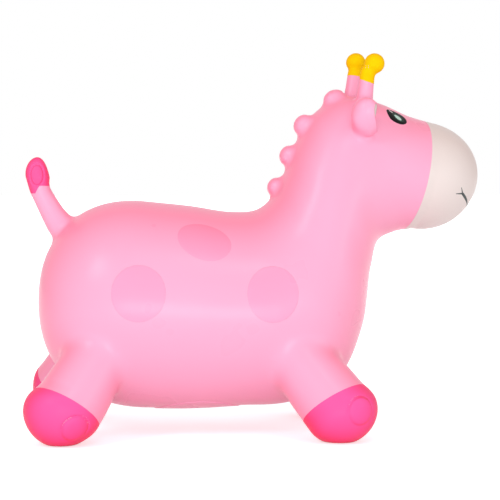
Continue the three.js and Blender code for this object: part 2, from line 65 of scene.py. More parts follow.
# %% Catmull-Rom lines
def smooth_line(points, steps):
    """A centripetal Catmull-Rom line through the points, with this many steps between each two."""
    given = np.array(points, float)
    line = np.vstack([2 * given[0] - given[1], given, 2 * given[-1] - given[-2]])
    gap = np.sqrt(np.linalg.norm(np.diff(line, axis=0), axis=1))
    share = np.linspace(0, 1, steps, endpoint=False)[:, None]
    stretches = []
    for i in range(1, len(line) - 2):
        a, b, c, d = line[i - 1:i + 3]
        leave = ((b - a) / gap[i - 1] - (c - a) / (gap[i - 1] + gap[i]) + (c - b) / gap[i]) * gap[i]
        arrive = ((c - b) / gap[i] - (d - b) / (gap[i] + gap[i + 1]) + (d - c) / gap[i + 1]) * gap[i]
        square = -3 * b + 3 * c - 2 * leave - arrive
        cube = 2 * b - 2 * c + leave + arrive
        stretches.append(b + leave * share + square * share ** 2 + cube * share ** 3)
    return np.vstack(stretches + [given[-1:]])


def rib_rings(ribs, steps):
    """Centre, upward half axis and half width of every ring of a loft through these ribs, in millimetres."""
    back = smooth_line([(x, 0, z) for (x, z), _, _ in ribs], steps)
    belly = smooth_line([(x, 0, z) for _, (x, z), _ in ribs], steps)
    half = smooth_line([(i, half, 0) for i, (_, _, half) in enumerate(ribs)], steps)[:, 1]
    return (back + belly) / 2, (back - belly) / 2, half


def dome_rings(rings, end, fullness, steps=28):
    """More rings that close a loft to a point, rounded as a superellipse."""
    centre, up, half = rings
    heading = centre[-1] - centre[-2]
    tip = np.array((end[0], 0, end[1]))
    reach = np.linalg.norm(tip - centre[-1])
    bend = centre[-1] + heading / np.linalg.norm(heading) * reach / 2
    angle = np.linspace(0, math.pi / 2, steps + 1)[1:-1]
    along = (np.sin(angle) ** (2 / fullness))[:, None]
    across = np.cos(angle) ** (2 / fullness)
    spine = (1 - along) ** 2 * centre[-1] + 2 * along * (1 - along) * bend + along ** 2 * tip
    return spine, up[-1] * across[:, None], half[-1] * across


def loft(rings, start, end, sides):
    """Points and faces of a closed skin over elliptical rings, with a point at each end."""
    centre, up, half = rings
    angle = np.linspace(0, 2 * math.pi, sides, endpoint=False)
    ring = centre[:, None] + up[:, None] * np.cos(angle)[:, None]
    ring[:, :, 1] += half[:, None] * np.sin(angle)
    points = np.vstack([[start], ring.reshape(-1, 3), [end]])
    return points, ring_faces(len(centre), sides)


def ring_faces(count, sides):
    """Faces over rings of points that follow each other, with a pole before the first and after the last."""
    at = lambda i, j: 1 + i * sides + j % sides
    last = 1 + count * sides
    faces = [(0, at(0, j), at(0, j + 1)) for j in range(sides)]
    faces += [(at(i, j), at(i + 1, j), at(i + 1, j + 1), at(i, j + 1))
              for i in range(count - 1) for j in range(sides)]
    return faces + [(last, at(count - 1, j + 1), at(count - 1, j)) for j in range(sides)]

# %% [markdown]
# ## The body
# From rump to muzzle the body is one loft. The back line dips at the saddle and climbs the neck,
# the belly line runs flat and then up the chest to the chin, so the ribs fan out around the neck.
# Each end is closed with a dome.

# %% Body loft
BODY_RIBS = [
    ((-129, 275), (-130, 28.2), 111),
    ((-72, 269), (-72, 27.2), 112),
    ((-22, 261.8), (-17, 29.7), 110),
    ((8, 264.5), (48, 33.7), 107),
    ((27, 280), (104, 60), 102),
    ((41, 308), (134.2, 123), 92),
    ((56, 346), (143.5, 193), 80),
    ((79, 381), (152.8, 226), 72),
    ((116, 400), (173.5, 236.7), 68),
    ((156, 391.8), (185, 239.3), 67),
    ((191, 377.3), (192, 239.9), 66),
    ((221, 369), (197, 241.2), 64),
]
RUMP_END = (-252.5, 156)
RUMP_FULLNESS = 2.25
MUZZLE_END = (278.4, 294.8)
MUZZLE_FULLNESS = 2.05
RINGS_PER_RIB = 24
RINGS_PER_DOME = 56
BODY_SIDES = 240

middle = rib_rings(BODY_RIBS, RINGS_PER_RIB)
muzzle = dome_rings(middle, MUZZLE_END, MUZZLE_FULLNESS, RINGS_PER_DOME)
rump = dome_rings([part[::-1] for part in middle], RUMP_END, RUMP_FULLNESS, RINGS_PER_DOME)
body_rings = [np.concatenate([rump[k][::-1], middle[k], muzzle[k]]) for k in range(3)]
rump_tip, muzzle_tip = ((x, 0, z) for x, z in (RUMP_END, MUZZLE_END))
body_form = loft(body_rings, rump_tip, muzzle_tip, BODY_SIDES)
print("body loft", len(body_form[0]), "points")

# %% [markdown]
# ## Legs, horns and tail
# A leg is a round stub on a ball, a horn a round stem under a knob: both are a profile turned about
# an axis. Blender's Screw modifier could turn them, but a function that places the rings along any
# axis keeps the four legs and two horns on the very lines of the solids. The tail is a small loft
# like the body.

# %% Turned forms
SIDES = {"left": 1, "right": -1}
HOOF_RADIUS = 43.5
LEG_RADIUS = 40.5
LEG_TOP_RADIUS = 39
LEG_SPREAD = 96
LEG_SPLAY = 27
LEG_TAPER = 48
LEG_ROOT = 88
SOLE_FLAT = 3.5
LEGS = {
    "front": {"x": 97.5, "lean": -38, "set_in": {1: 4.0, -1: 4.0}, "set_from": -38, "set_by": 8,
              "slim": (-22, 10)},
    "rear": {"x": -222, "lean": 32, "set_in": {1: -2, -1: 6}, "set_from": -25, "set_by": 20,
             "slim": (-8, 20)},
}
HORN_FOOT = (128, 28.5, 375)
HORN_KNOB = {1: (138.9, 36.5, 442.4), -1: (140.1, 36.5, 437.6)}
HORN_RADIUS = 8.6
HORN_FLARE = 3.5
KNOB_RADIUS = 11.9
KNOB_AHEAD = {1: -0.6, -1: 7}
STEM_END = [(1, 10), (0.9, 6.5), (0.65, 4), (0, 3)]
SMALL_SIDES = 48


def eased(value, low, high):
    """Zero below the low value, one above the high one, and a smooth rise between."""
    share = np.clip((value - low) / (high - low), 0, 1)
    return share * share * (3 - 2 * share)


def turned_form(profile, foot, axis, sides=72):
    """Points and faces of a profile, given as (radius, height), turned about an axis."""
    aim = Vector(axis).normalized()
    across = aim.orthogonal().normalized()
    basis = np.array([across, aim.cross(across), aim])
    angle = np.linspace(0, 2 * math.pi, sides, endpoint=False)
    circle = np.stack([np.cos(angle), np.sin(angle), np.zeros(sides)], 1)
    rings = [radius * circle + (0, 0, height) for radius, height in profile[1:-1]]
    ends = [(0, 0, profile[0][1]), (0, 0, profile[-1][1])]
    local = np.vstack([ends[:1]] + rings + [ends[1:]])
    return local @ basis + np.array(foot), ring_faces(len(rings), sides)


def leg_axis(lean, side):
    """The direction up a leg that leans along the animal and in towards the body."""
    return Vector((math.tan(math.radians(lean)), -side * math.tan(math.radians(LEG_SPLAY)), 1)).normalized()


def leg_place(end, side):
    """Centre of a hoof's ball and the direction from it up the leg."""
    leg = LEGS[end]
    return Vector((leg["x"], side * LEG_SPREAD, HOOF_RADIUS - SOLE_FLAT)), leg_axis(leg["lean"], side)


def leg_form(end, side):
    """A hoof's ball with the leg on it, a little slimmer and set in towards the animal's middle."""
    foot, axis = leg_place(end, side)
    leg = LEGS[end]
    quarter = np.linspace(0, math.pi / 2, 28)
    ball = [(HOOF_RADIUS * math.sin(a), -HOOF_RADIUS * math.cos(a)) for a in quarter]
    rings = ball + [(HOOF_RADIUS, h) for h in np.linspace(0, leg["slim"][1], 12)[1:]]
    rings = [(r * (1 - (1 - LEG_RADIUS / HOOF_RADIUS) * eased(h, *leg["slim"])), h) for r, h in rings]
    stub = [(LEG_TOP_RADIUS, LEG_TAPER), (LEG_TOP_RADIUS, LEG_ROOT), (0, LEG_ROOT)]
    points, faces = turned_form(rings + stub, foot, axis)
    inward = Vector((math.copysign(1, leg["lean"]), 0, 0))
    inward = (inward - axis * inward.dot(axis)).normalized()
    share = eased((points - np.array(foot)) @ np.array(axis), leg["set_from"], leg["set_by"])
    points += share[:, None] * np.array(inward) * leg["set_in"][side]
    points[:, 2] = np.maximum(points[:, 2], 0)
    return points, faces


def horn_place(side):
    """Foot of a horn and the end of its straight axis, from where the knob is set ahead."""
    foot = Vector((HORN_FOOT[0], side * HORN_FOOT[1], HORN_FOOT[2]))
    x, y, z = HORN_KNOB[side]
    return foot, Vector((x - KNOB_AHEAD[side], side * y, z))


def horn_forms(side):
    """A straight stem that widens at its foot, and the ball that sits on its end, a little ahead."""
    foot, top = horn_place(side)
    length = (top - foot).length
    low = STEM_END[0][1]
    stem = [(HORN_RADIUS + HORN_FLARE * (1 - s) ** 2, (length - low) * s) for s in np.linspace(0, 1, 20)]
    stem += [(HORN_RADIUS * share, length - below) for share, below in STEM_END[1:]]
    half_turn = np.linspace(0, math.pi, 30)
    ball = [(KNOB_RADIUS * math.sin(a), -KNOB_RADIUS * math.cos(a)) for a in half_turn]
    ahead = Vector((KNOB_AHEAD[side], 0, 0))
    axis = top - foot
    return (turned_form([(0, 0)] + stem, foot, axis, SMALL_SIDES),
            turned_form(ball, top + ahead, axis, SMALL_SIDES))


TAIL_RIBS = [
    ((-217, 200), (-188, 234), 21),
    ((-236.3, 231.5), (-210, 255), 16.5),
    ((-245.8, 250.5), (-220, 263.5), 13.5),
    ((-253.8, 268), (-230, 277.5), 12),
    ((-260.8, 284), (-238.5, 293), 11.7),
    ((-266.5, 303), (-238.5, 303), 13.5),
]
TAIL_END = (-253, 327)
TAIL_FULLNESS = 1.95
TAIL_RINGS_PER_RIB = 10
stem = rib_rings(TAIL_RIBS, TAIL_RINGS_PER_RIB)
tip = dome_rings(stem, TAIL_END, TAIL_FULLNESS)
tail_rings = [np.concatenate([stem[k], tip[k]]) for k in range(3)]
tail_form = loft(tail_rings, tail_rings[0][0], (TAIL_END[0], 0, TAIL_END[1]), SMALL_SIDES)

lobes = {"tail": tail_form}
for name, side in SIDES.items():
    lobes[f"horn_{name}"], lobes[f"knob_{name}"] = horn_forms(side)
    for end in LEGS:
        lobes[f"leg_{end}_{name}"] = leg_form(end, side)
print("turned and lofted forms", sorted(lobes))

# %% [markdown]
# ## Balls on points: mane and toes
# The mane is a row of round scallops, and each hoof has two low toes. All of them are balls,
# stretched and turned, so Geometry Nodes make them: a point for each ball carries its size and turn
# as attributes, Instance on Points puts a ball there, and Realize Instances makes it plain mesh.
# Typing in twelve spheres would give the same shape, but the tree keeps one ball to change.

# %% Helpers for trees of nodes
def new_tree(title, **inputs):
    """A Geometry Nodes tree with a Geometry output, and the sockets of its named inputs."""
    tree = bpy.data.node_groups.new(title, "GeometryNodeTree")
    tree.interface.new_socket("Geometry", in_out="OUTPUT", socket_type="NodeSocketGeometry")
    for label, kind in inputs.items():
        tree.interface.new_socket(label, in_out="INPUT", socket_type=f"NodeSocket{kind}")
    return tree, tree.nodes.new("NodeGroupInput").outputs


def node(tree, kind, links=None, **settings):
    """Adds a node, sets its properties, and links or sets its inputs by name or by number."""
    made = tree.nodes.new(kind)
    for key, value in settings.items():
        setattr(made, key, value)
    for key, value in (links or {}).items():
        socket = made.inputs[key]
        if isinstance(value, bpy.types.NodeSocket):
            tree.links.new(value, socket)
        else:
            socket.default_value = value
    return made


def maths(tree, operation, *values, **settings):
    """The result of a Math node on sockets or numbers."""
    links = dict(enumerate(values))
    return node(tree, "ShaderNodeMath", links, operation=operation, **settings).outputs[0]


def vectors(tree, operation, first, second):
    """The result of a Vector Math node on two vectors, or on a vector and a scale."""
    links = {0: first, "Scale" if operation == "SCALE" else 1: second}
    return node(tree, "ShaderNodeVectorMath", links, operation=operation).outputs[0]


def end_tree(tree, geometry, material):
    """Makes instances plain mesh, gives them their material and closes the tree."""
    solid = node(tree, "GeometryNodeRealizeInstances", {"Geometry": geometry})
    painted = node(tree, "GeometryNodeSetMaterial", {"Geometry": solid.outputs[0], "Material": material})
    node(tree, "NodeGroupOutput", {"Geometry": painted.outputs[0]})
    print("tree", tree.name, "with", len(tree.nodes), "nodes")


# %% Helpers for meshes
def set_inputs(modifier, **values):
    """Sets a modifier's inputs by the identifier behind each name."""
    for item in modifier.node_group.interface.items_tree:
        if item.in_out == "INPUT" and item.name in values:
            modifier[item.identifier] = values[item.name]


def made_mesh(obj, title):
    """The mesh that an object's modifiers make, as a plain mesh."""
    graph = bpy.context.evaluated_depsgraph_get()
    mesh = bpy.data.meshes.new_from_object(obj.evaluated_get(graph))
    mesh.name = title
    return mesh


def plain_object(title, mesh):
    """An object for a mesh or a curve, linked to the scene."""
    obj = bpy.data.objects.new(title, mesh)
    bpy.context.scene.collection.objects.link(obj)
    return obj


def mesh_from(title, points, faces):
    """A mesh from points and from the numbers of the points round each face."""
    mesh = bpy.data.meshes.new(title)
    mesh.from_pydata([tuple(p) for p in points], [], [tuple(f) for f in faces])
    mesh.update()
    return mesh


def drop(obj):
    """Removes a helper object and its mesh or curve."""
    data = obj.data
    bpy.data.objects.remove(obj)
    (bpy.data.curves if isinstance(data, bpy.types.Curve) else bpy.data.meshes).remove(data)


def grown_mesh(title, holder, tree, **inputs):
    """The plain mesh that a tree makes from a helper object, which is then removed."""
    modifier = holder.modifiers.new(tree.name, "NODES")
    modifier.node_group = tree
    set_inputs(modifier, **inputs)
    mesh = made_mesh(holder, title)
    drop(holder)
    return mesh


def mesh_vectors(mesh, what="co"):
    """The place of every point of a mesh, or its normal."""
    flat = np.empty(len(mesh.vertices) * 3)
    mesh.vertices.foreach_get(what, flat)
    return flat.reshape(-1, 3)


def set_places(mesh, places):
    """Moves every point of a mesh."""
    mesh.vertices.foreach_set("co", places.ravel())
    mesh.update()


def face_outwards(mesh):
    """Turns the faces of a closed mesh so that all of them point outwards."""
    work = bmesh.new()
    work.from_mesh(mesh)
    bmesh.ops.recalc_face_normals(work, faces=work.faces)
    work.to_mesh(mesh)
    work.free()
    return mesh


# %% The tree that puts balls on points
balls_tree, entry = new_tree("balls_on_points", Geometry="Geometry", Segments="Int", Material="Material")
size_of, turn_of = (
    node(balls_tree, "GeometryNodeInputNamedAttribute", {"Name": label}, data_type="FLOAT_VECTOR").outputs[0]
    for label in ("half_size", "turn"))
turn_as = node(balls_tree, "FunctionNodeEulerToRotation", {0: turn_of})
ball = node(balls_tree, "GeometryNodeMeshUVSphere", {
    "Segments": entry["Segments"], "Rings": 24, "Radius": 1.0})
dots = node(balls_tree, "GeometryNodeMeshToPoints", {"Mesh": entry["Geometry"]})
copies = node(balls_tree, "GeometryNodeInstanceOnPoints", {
    "Points": dots.outputs[0], "Instance": ball.outputs[0], "Rotation": turn_as.outputs[0], "Scale": size_of})
end_tree(balls_tree, copies.outputs[0], entry["Material"])

# %% Mane and toes
SCALLOPS = [((103.5, 392), 16.2), ((66, 364), 14.2), ((48.5, 328), 13.5), ((33, 290.5), 12.5)]
SCALLOP_HALF_WIDTH = 14
TOE_HALF = (17, 7, 17)
TOE_RELIEF = 2.4
TOES = {"front": (63, 0), "rear": (64, -24)}
BALL_SEGMENTS = 48


def balls(title, spots):
    """One mesh of balls from (centre, half sizes, turn in degrees)."""
    mesh = mesh_from(title, [centre for centre, _, _ in spots], [])
    sizes = [half for _, half, _ in spots]
    turns = np.radians([turn for _, _, turn in spots])
    for label, values in (("half_size", sizes), ("turn", turns)):
        layer = mesh.attributes.new(label, "FLOAT_VECTOR", "POINT")
        layer.data.foreach_set("vector", np.array(values, float).ravel())
    made = grown_mesh(title, plain_object(title, mesh), balls_tree, Segments=BALL_SEGMENTS)
    points = mesh_vectors(made)
    faces = [tuple(p.vertices) for p in made.polygons]
    bpy.data.meshes.remove(made)
    return points, faces


for i, ((x, z), radius) in enumerate(SCALLOPS):
    half = (radius, SCALLOP_HALF_WIDTH, radius)
    lobes[f"mane_{i + 1}"] = balls("mane", [((x, 0, z), half, (0, 0, 0))])
toes, toe_axes = [], []
for end in LEGS:
    turn, tilt = TOES[end]
    for side in SIDES.values():
        foot, _ = leg_place(end, side)
        for toe_side in SIDES.values():
            facing = Vector((1, 0, 0))
            facing.rotate(Euler((0, -math.radians(tilt), math.radians(toe_side * turn))))
            at = foot + facing * (HOOF_RADIUS + TOE_RELIEF - TOE_HALF[1])
            toes.append((tuple(at), TOE_HALF, (tilt, 0, toe_side * turn - 90)))
            toe_axes.append((foot, facing))
toe_form = balls("toes", toes)
print("balls: 4 scallops and", len(toes), "toes")

# %% [markdown]
# ## Roots of the ears
# An ear is a leaf that stands out from the head. Its back is part of the skin and runs into the
# head like the horns do, so the back half of each leaf joins the other forms here. The hollow front
# comes later as a piece with a fine rim.

# %% Ear roots
EAR_ROOT = (122, 350.5)
EAR_LENGTH = 48.5
EAR_HALF_WIDTH = 14
EAR_HALF_DEPTH = 18
EAR_OUT = 22
EAR_BACK = 6
EAR_FACING = 18
EAR_FACE = 10
EAR_RIM = 2.4
EAR_HOLLOW = 4.5
EAR_TWIST = 24
EAR_OVERLAP = 5
OUTSIDE = 800


def surface_of(points, faces):
    """A form as a tree that answers rays and nearest points."""
    return BVHTree.FromPolygons([tuple(p) for p in points], faces)


def body_hit(start, direction):
    """Where a ray meets the body, and the direction in which the body faces there."""
    return body_tree.ray_cast(Vector(start), Vector(direction))[:2]


def ear_frame(side):
    """Middle of an ear, the directions ahead of it, across it and along it, and its side."""
    root, _ = body_hit((EAR_ROOT[0], side * OUTSIDE, EAR_ROOT[1]), (0, -side, 0))
    axis = Vector((-math.tan(math.radians(EAR_BACK)), side * math.tan(math.radians(EAR_OUT)), 1)).normalized()
    facing = Vector((math.cos(math.radians(EAR_FACING)), side * math.sin(math.radians(EAR_FACING)), 0))
    ahead = (facing - axis * facing.dot(axis)).normalized()
    return root + axis * EAR_LENGTH / 2, ahead, axis.cross(ahead), axis, side


def leaf(rings, ends, frame_axes, sides=72):
    """Rings of (ahead, half width, half length) round an ear's middle, twisted outwards to its tip."""
    angle = np.linspace(0, 2 * math.pi, sides, endpoint=False)
    local = [(ends[0], 0, 0)]
    for forward, width, length in rings:
        local += zip(np.full(sides, forward), np.cos(angle) * width, np.sin(angle) * length)
    forward, aside, along = np.array(local + [(ends[1], 0, 0)]).T
    *axes, side = frame_axes
    middle_point, ahead, across, axis = (np.array(v) for v in axes)
    twist = side * math.radians(EAR_TWIST) * along / (EAR_LENGTH / 2)
    turned_forward = forward * np.cos(twist) - aside * np.sin(twist)
    turned_aside = forward * np.sin(twist) + aside * np.cos(twist)
    flat = np.outer(turned_forward, ahead) + np.outer(turned_aside, across)
    return middle_point + flat + np.outer(along, axis), ring_faces(len(rings), sides)


def ear_back(ahead, lift):
    """Rings from the middle of an ear's back to a plane ahead of it, lifted off the exact leaf."""
    rings = []
    for a in np.linspace(0, math.acos(-ahead / EAR_HALF_DEPTH), 26)[1:]:
        forward = -EAR_HALF_DEPTH * math.cos(a)
        wide, long = EAR_HALF_WIDTH * math.sin(a), EAR_LENGTH / 2 * math.sin(a)
        off = lift(forward)
        rings.append((forward - off * math.cos(a), wide + off * math.sin(a), long + off * math.sin(a)))
    return rings


body_tree = surface_of(*body_form)
root_rings = ear_back(EAR_OVERLAP, lambda forward: 0)
for name, side in SIDES.items():
    lobes[f"ear_{name}"] = leaf(root_rings, (-EAR_HALF_DEPTH, EAR_OVERLAP), ear_frame(side))
print("ear roots", [len(lobes[f"ear_{name}"][0]) for name in SIDES], "points")

# %% [markdown]
# ## One soft skin
# On the real toy all of this is one casting, and where a leg or a horn leaves the body the skin
# runs round in a small hollow fillet. A Boolean union would leave sharp creases. Instead the forms
# are remeshed together as voxels, which gives one even skin. Voxels leave rows of narrow faces,
# like the terraces of a rice field, so the points are first eased apart. Each then goes back to the
# exact surface it came from, and only near a crease does a Smooth modifier, held by a vertex group,
# draw the skin into a fillet: one group for the wide fillets of the legs, one for the rest.

# %% Remesh all the forms as one skin
VOXEL = 2.4
forms = {"body": body_form, **lobes, "toes": toe_form}


def stacked(parts):
    """Points and faces of several forms as one."""
    points, faces, start = [], [], 0
    for part_points, part_faces in parts:
        points.append(part_points)
        faces += [tuple(start + i for i in face) for face in part_faces]
        start += len(part_points)
    return np.vstack(points), faces


all_points, all_faces = stacked(forms.values())
raw = plain_object("skin_raw", mesh_from("skin_raw", all_points, all_faces))
remesh = raw.modifiers.new("Voxels", "REMESH")
remesh.mode = "VOXEL"
remesh.voxel_size = VOXEL
skin_mesh = made_mesh(raw, "skin_form")
drop(raw)
print("one skin of", len(skin_mesh.vertices), "points")

# %% Back to the exact surfaces
EASE_PASSES = 6
TOE_MARGIN = 6
exact = surface_of(all_points, all_faces)
toe_tree = surface_of(*toe_form)
place = mesh_vectors(skin_mesh)
ends = np.empty(len(skin_mesh.edges) * 2, int)
skin_mesh.edges.foreach_get("vertices", ends)
one, other = ends.reshape(-1, 2).T
clear_of_toes = np.array([toe_tree.find_nearest(point, TOE_MARGIN)[0] is None for point in place])
links = np.bincount(ends, minlength=len(place))
for _ in range(EASE_PASSES):
    middle_of_links = np.zeros_like(place)
    np.add.at(middle_of_links, one, place[other])
    np.add.at(middle_of_links, other, place[one])
    middle_of_links /= links[:, None]
    place[clear_of_toes] = (place + middle_of_links)[clear_of_toes] / 2
for i, point in enumerate(place):
    place[i] = exact.find_nearest(point)[0]
set_places(skin_mesh, place)
print("points eased and set on the lofts")

# %% Fillets along the creases
FILLETS = {"leg": 28, "tail": 13, "horn": 6, "knob": 4, "mane": 9, "ear": 24}
PASSES = {"crease": 60, "leg_crease": 110}
CREASE_GAIN = 1.6
trees = {name: surface_of(*form) for name, form in lobes.items()}
creases = {label: np.zeros(len(place)) for label in PASSES}
for name, (points, _) in lobes.items():
    reach = FILLETS[name.split("_")[0]]
    crease = creases["leg_crease" if "leg" in name else "crease"]
    root = trees[name.replace("knob", "horn")] if "knob" in name else body_tree
    inside = np.all((place > points.min(0) - reach) & (place < points.max(0) + reach), axis=1)
    for i in np.nonzero(inside)[0]:
        off_lobe = trees[name].find_nearest(place[i], reach)[3]
        off_root = root.find_nearest(place[i], reach)[3]
        if off_lobe is not None and off_root is not None:
            crease[i] = max(crease[i], eased(1 - max(off_lobe, off_root) / reach, 0, 1))

skin_form = plain_object("skin_form", skin_mesh)
for label, crease in creases.items():
    group = skin_form.vertex_groups.new(name=label)
    for i in np.nonzero(crease)[0]:
        group.add([int(i)], float(min(1, crease[i] * CREASE_GAIN)), "REPLACE")
    fillet = skin_form.modifiers.new(label, "SMOOTH")
    fillet.factor = 0.5
    fillet.iterations = PASSES[label]
    fillet.vertex_group = label
skin_mesh = made_mesh(skin_form, "skin_smooth")
drop(skin_form)
print("fillets on", {label: int((crease > 0).sum()) for label, crease in creases.items()}, "points")

# %% [markdown]
# ## Finer skin at the toes and the tuft
# The even skin is too coarse for two small things: the edge of each toe, and the oval that is
# pressed into both sides of the tuft. A finer voxel everywhere would cost a million faces. So only
# these places are subdivided, their new points go to the exact surface as well, and the oval's
# outline is pushed in as a groove.

# %% Refine the toes and press the ovals
TOE_REACH = 22
TOE_EDGE = 16.2
TOES_BELOW = 80
TUFT_BOX = (-225, 280)
OVAL_AT = (-252.8, 306)
OVAL_HALF = (7.7, 12.6)
GROOVE_HALF = 1.6
GROOVE_DEPTH = 1.2
GROOVE_FADE = (-8, 5)
LOWER_GROOVE = 0.25
toe_places = [Vector(at) for at, _, _ in toes]
fine = bmesh.new()
fine.from_mesh(skin_mesh)


def refine(chosen, cuts):
    """Subdivides the skin where all ends of an edge are chosen, and sets the points on the exact surface."""
    edges = [e for e in fine.edges if all(chosen(v.co) for v in e.verts)]
    bmesh.ops.subdivide_edges(fine, edges=edges, cuts=cuts, use_grid_fill=True)
    points = [v for v in fine.verts if chosen(v.co)]
    for v in points:
        v.co = exact.find_nearest(v.co)[0]
    return points


toe_points = refine(
    lambda at: at.z < TOES_BELOW and any((at - toe).length < TOE_REACH for toe in toe_places), 1)
for v in toe_points:
    foot, facing = min(toe_axes, key=lambda axis: (v.co - axis[0] - axis[1] * HOOF_RADIUS).length)
    out = v.co - foot
    off_line = abs((out - facing * out.dot(facing)).length - TOE_EDGE)
    upper = eased(out.z - facing.z * HOOF_RADIUS, *GROOVE_FADE)
    depth = GROOVE_DEPTH * (LOWER_GROOVE + (1 - LOWER_GROOVE) * upper)
    v.co -= out.normalized() * depth * (1 - eased(off_line, 0, GROOVE_HALF))
tuft_points = refine(lambda at: at.x < TUFT_BOX[0] and at.z > TUFT_BOX[1], 2)
for v in tuft_points:
    round_oval = math.hypot((v.co.x - OVAL_AT[0]) / OVAL_HALF[0], (v.co.z - OVAL_AT[1]) / OVAL_HALF[1])
    off_line = abs(round_oval - 1) * OVAL_HALF[0]
    v.co.y -= math.copysign(GROOVE_DEPTH * (1 - eased(off_line, 0, GROOVE_HALF)), v.co.y)
print("finer points: toes", len(toe_points), "tuft", len(tuft_points))
fine.to_mesh(skin_mesh)
fine.free()

# %% [markdown]
# ## The well of the valve
# Under the belly the skin sinks into a small well, where the filling valve sits. The mesh is even
# enough to be pushed in there: every point near the valve's axis moves up, most in the middle. The
# sole of each hoof is also lifted by a hair, so that the paint over it can lie flat on the floor.

# %% Sink the well
VALVE_X = -64
WELL = [(20.5, 18.2, 7.5), (11.5, 9.5, 20)]
WELL_REACH = 30
SOLE_PAINT = 0.3
UPRIGHT = Vector((0, 0, 1))

place = mesh_vectors(skin_mesh)
belly_z = body_hit((VALVE_X, 0, -OUTSIDE), UPRIGHT)[0].z
off_axis = np.hypot(place[:, 0] - VALVE_X, place[:, 1])
under = place[:, 2] < belly_z + WELL_REACH
for outer, inner, depth in WELL:
    place[:, 2] += np.where(under, depth * (1 - eased(off_axis, inner, outer)), 0)
place[:, 2] = np.maximum(place[:, 2], SOLE_PAINT)
set_places(skin_mesh, place)
print("belly at", round(belly_z, 2), "mm")

# %% [markdown]
# ## Where the colours end
# Hooves, muzzle, knobs and tuft are sprayed through masks, so their edges are clean lines round the
# skin. Colouring whole faces would leave a jagged edge, as wide as a face. Bisect cuts the faces
# exactly along the plane of the mask first, and then every face belongs wholly to one colour.

# %% Cut the skin along the masks
HOOF_EDGE = {"front": (6, -30), "rear": (4, 31)}
MUZZLE_EDGE = ((212, 371), (186, 239.5))
TUFT_EDGE = 293.3
TONGUE = ((-250, 293.5), (-255, 284.3))
KNOB_EDGE = {"left": 17.6, "right": 21.4}
KNOB_SLANT = {"left": 0, "right": 0.23}
MASK_REACH = {"hoof": 70, "knob": 30, "muzzle": 115, "tuft": 32}
MUZZLE_AT = Vector((235, 0, 305))
TUFT_AT = Vector((-253, 0, 305))


def side_plane(back, belly):
    """Point and forward normal of a plane that is seen edge on from the side."""
    line = Vector((back[0] - belly[0], 0, back[1] - belly[1]))
    halfway = Vector(((back[0] + belly[0]) / 2, 0, (back[1] + belly[1]) / 2))
    return halfway, Vector((line.z, 0, -line.x)).normalized()


masks = []
for name, side in SIDES.items():
    for end in LEGS:
        foot, _ = leg_place(end, side)
        height, lean = HOOF_EDGE[end]
        axis = leg_axis(lean, side)
        masks.append((f"hoof_{end}_{name}", [(foot + axis * height, -axis)], foot))
    foot, knob = horn_place(side)
    axis = (knob - foot).normalized()
    tilt = (axis + Vector((KNOB_SLANT[name], 0, 0))).normalized()
    masks.append((f"knob_{name}", [(knob - axis * KNOB_EDGE[name], tilt)], knob))
masks.append(("muzzle", [side_plane(*MUZZLE_EDGE)], MUZZLE_AT))
masks.append(("tuft", [(UPRIGHT * TUFT_EDGE, UPRIGHT)], TUFT_AT))
masks.append(("tuft", [side_plane(*TONGUE[::-1]), (UPRIGHT * TONGUE[1][1], UPRIGHT)], TUFT_AT))
coats = list(dict.fromkeys(name for name, *_ in masks))

sheet = bmesh.new()
sheet.from_mesh(skin_mesh)
colour_of = sheet.faces.layers.int.new("colour")
for name, planes, centre in masks:
    reach = MASK_REACH[name.split("_")[0]]
    for point, normal in planes:
        faces = [f for f in sheet.faces if (f.calc_center_median() - centre).length < reach]
        around = {e for f in faces for e in f.edges} | {v for f in faces for v in f.verts} | set(faces)
        bmesh.ops.bisect_plane(sheet, geom=list(around), dist=0.02, plane_co=point, plane_no=normal)
    for face in sheet.faces:
        at = face.calc_center_median()
        if (at - centre).length < reach and all((at - point).dot(normal) > 0 for point, normal in planes):
            face[colour_of] = 1 + coats.index(name)
sheet.normal_update()
sheet.to_mesh(skin_mesh)
sheet.free()
skin_form = plain_object("skin_form", skin_mesh)
paint_number = np.empty(len(skin_mesh.polygons), int)
skin_mesh.attributes["colour"].data.foreach_get("value", paint_number)
print("faces per colour", dict(zip(["skin", *coats], np.bincount(paint_number))))

# %% [markdown]
# ## Turning the neck
# The animal in the picture looks a little away, to its left. The neck of the solids is twisted for
# that, with a soft start at the shoulders, and everything on the neck and head follows the same
# twist. So each piece is finished on the straight animal first and goes through this one function
# last.

# %% The twist
HEAD_TURN = 9
TURN_AXIS_X = 100
TURN_HEADING = 30.5
TURN_START = 170
TURN_END = 280
low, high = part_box("air_plug")
SHIFT = (low[0] + high[0]) / 2 - VALVE_X * MM


def in_frame(points):
    """Points of the straight animal, in millimetres, turned with the neck and set in the frame, in metres."""
    heading = math.radians(TURN_HEADING)
    share = eased(points[:, 0] * math.cos(heading) + points[:, 2] * math.sin(heading), TURN_START, TURN_END)
    angle = math.radians(HEAD_TURN) * share
    x = points[:, 0] - TURN_AXIS_X
    turned_x = x * np.cos(angle) - points[:, 1] * np.sin(angle) + TURN_AXIS_X
    turned_y = x * np.sin(angle) + points[:, 1] * np.cos(angle)
    return np.stack([turned_x * MM + SHIFT, turned_y * MM, points[:, 2] * MM], 1)


print("the solids are shifted by", round(SHIFT / MM, 3), "mm")
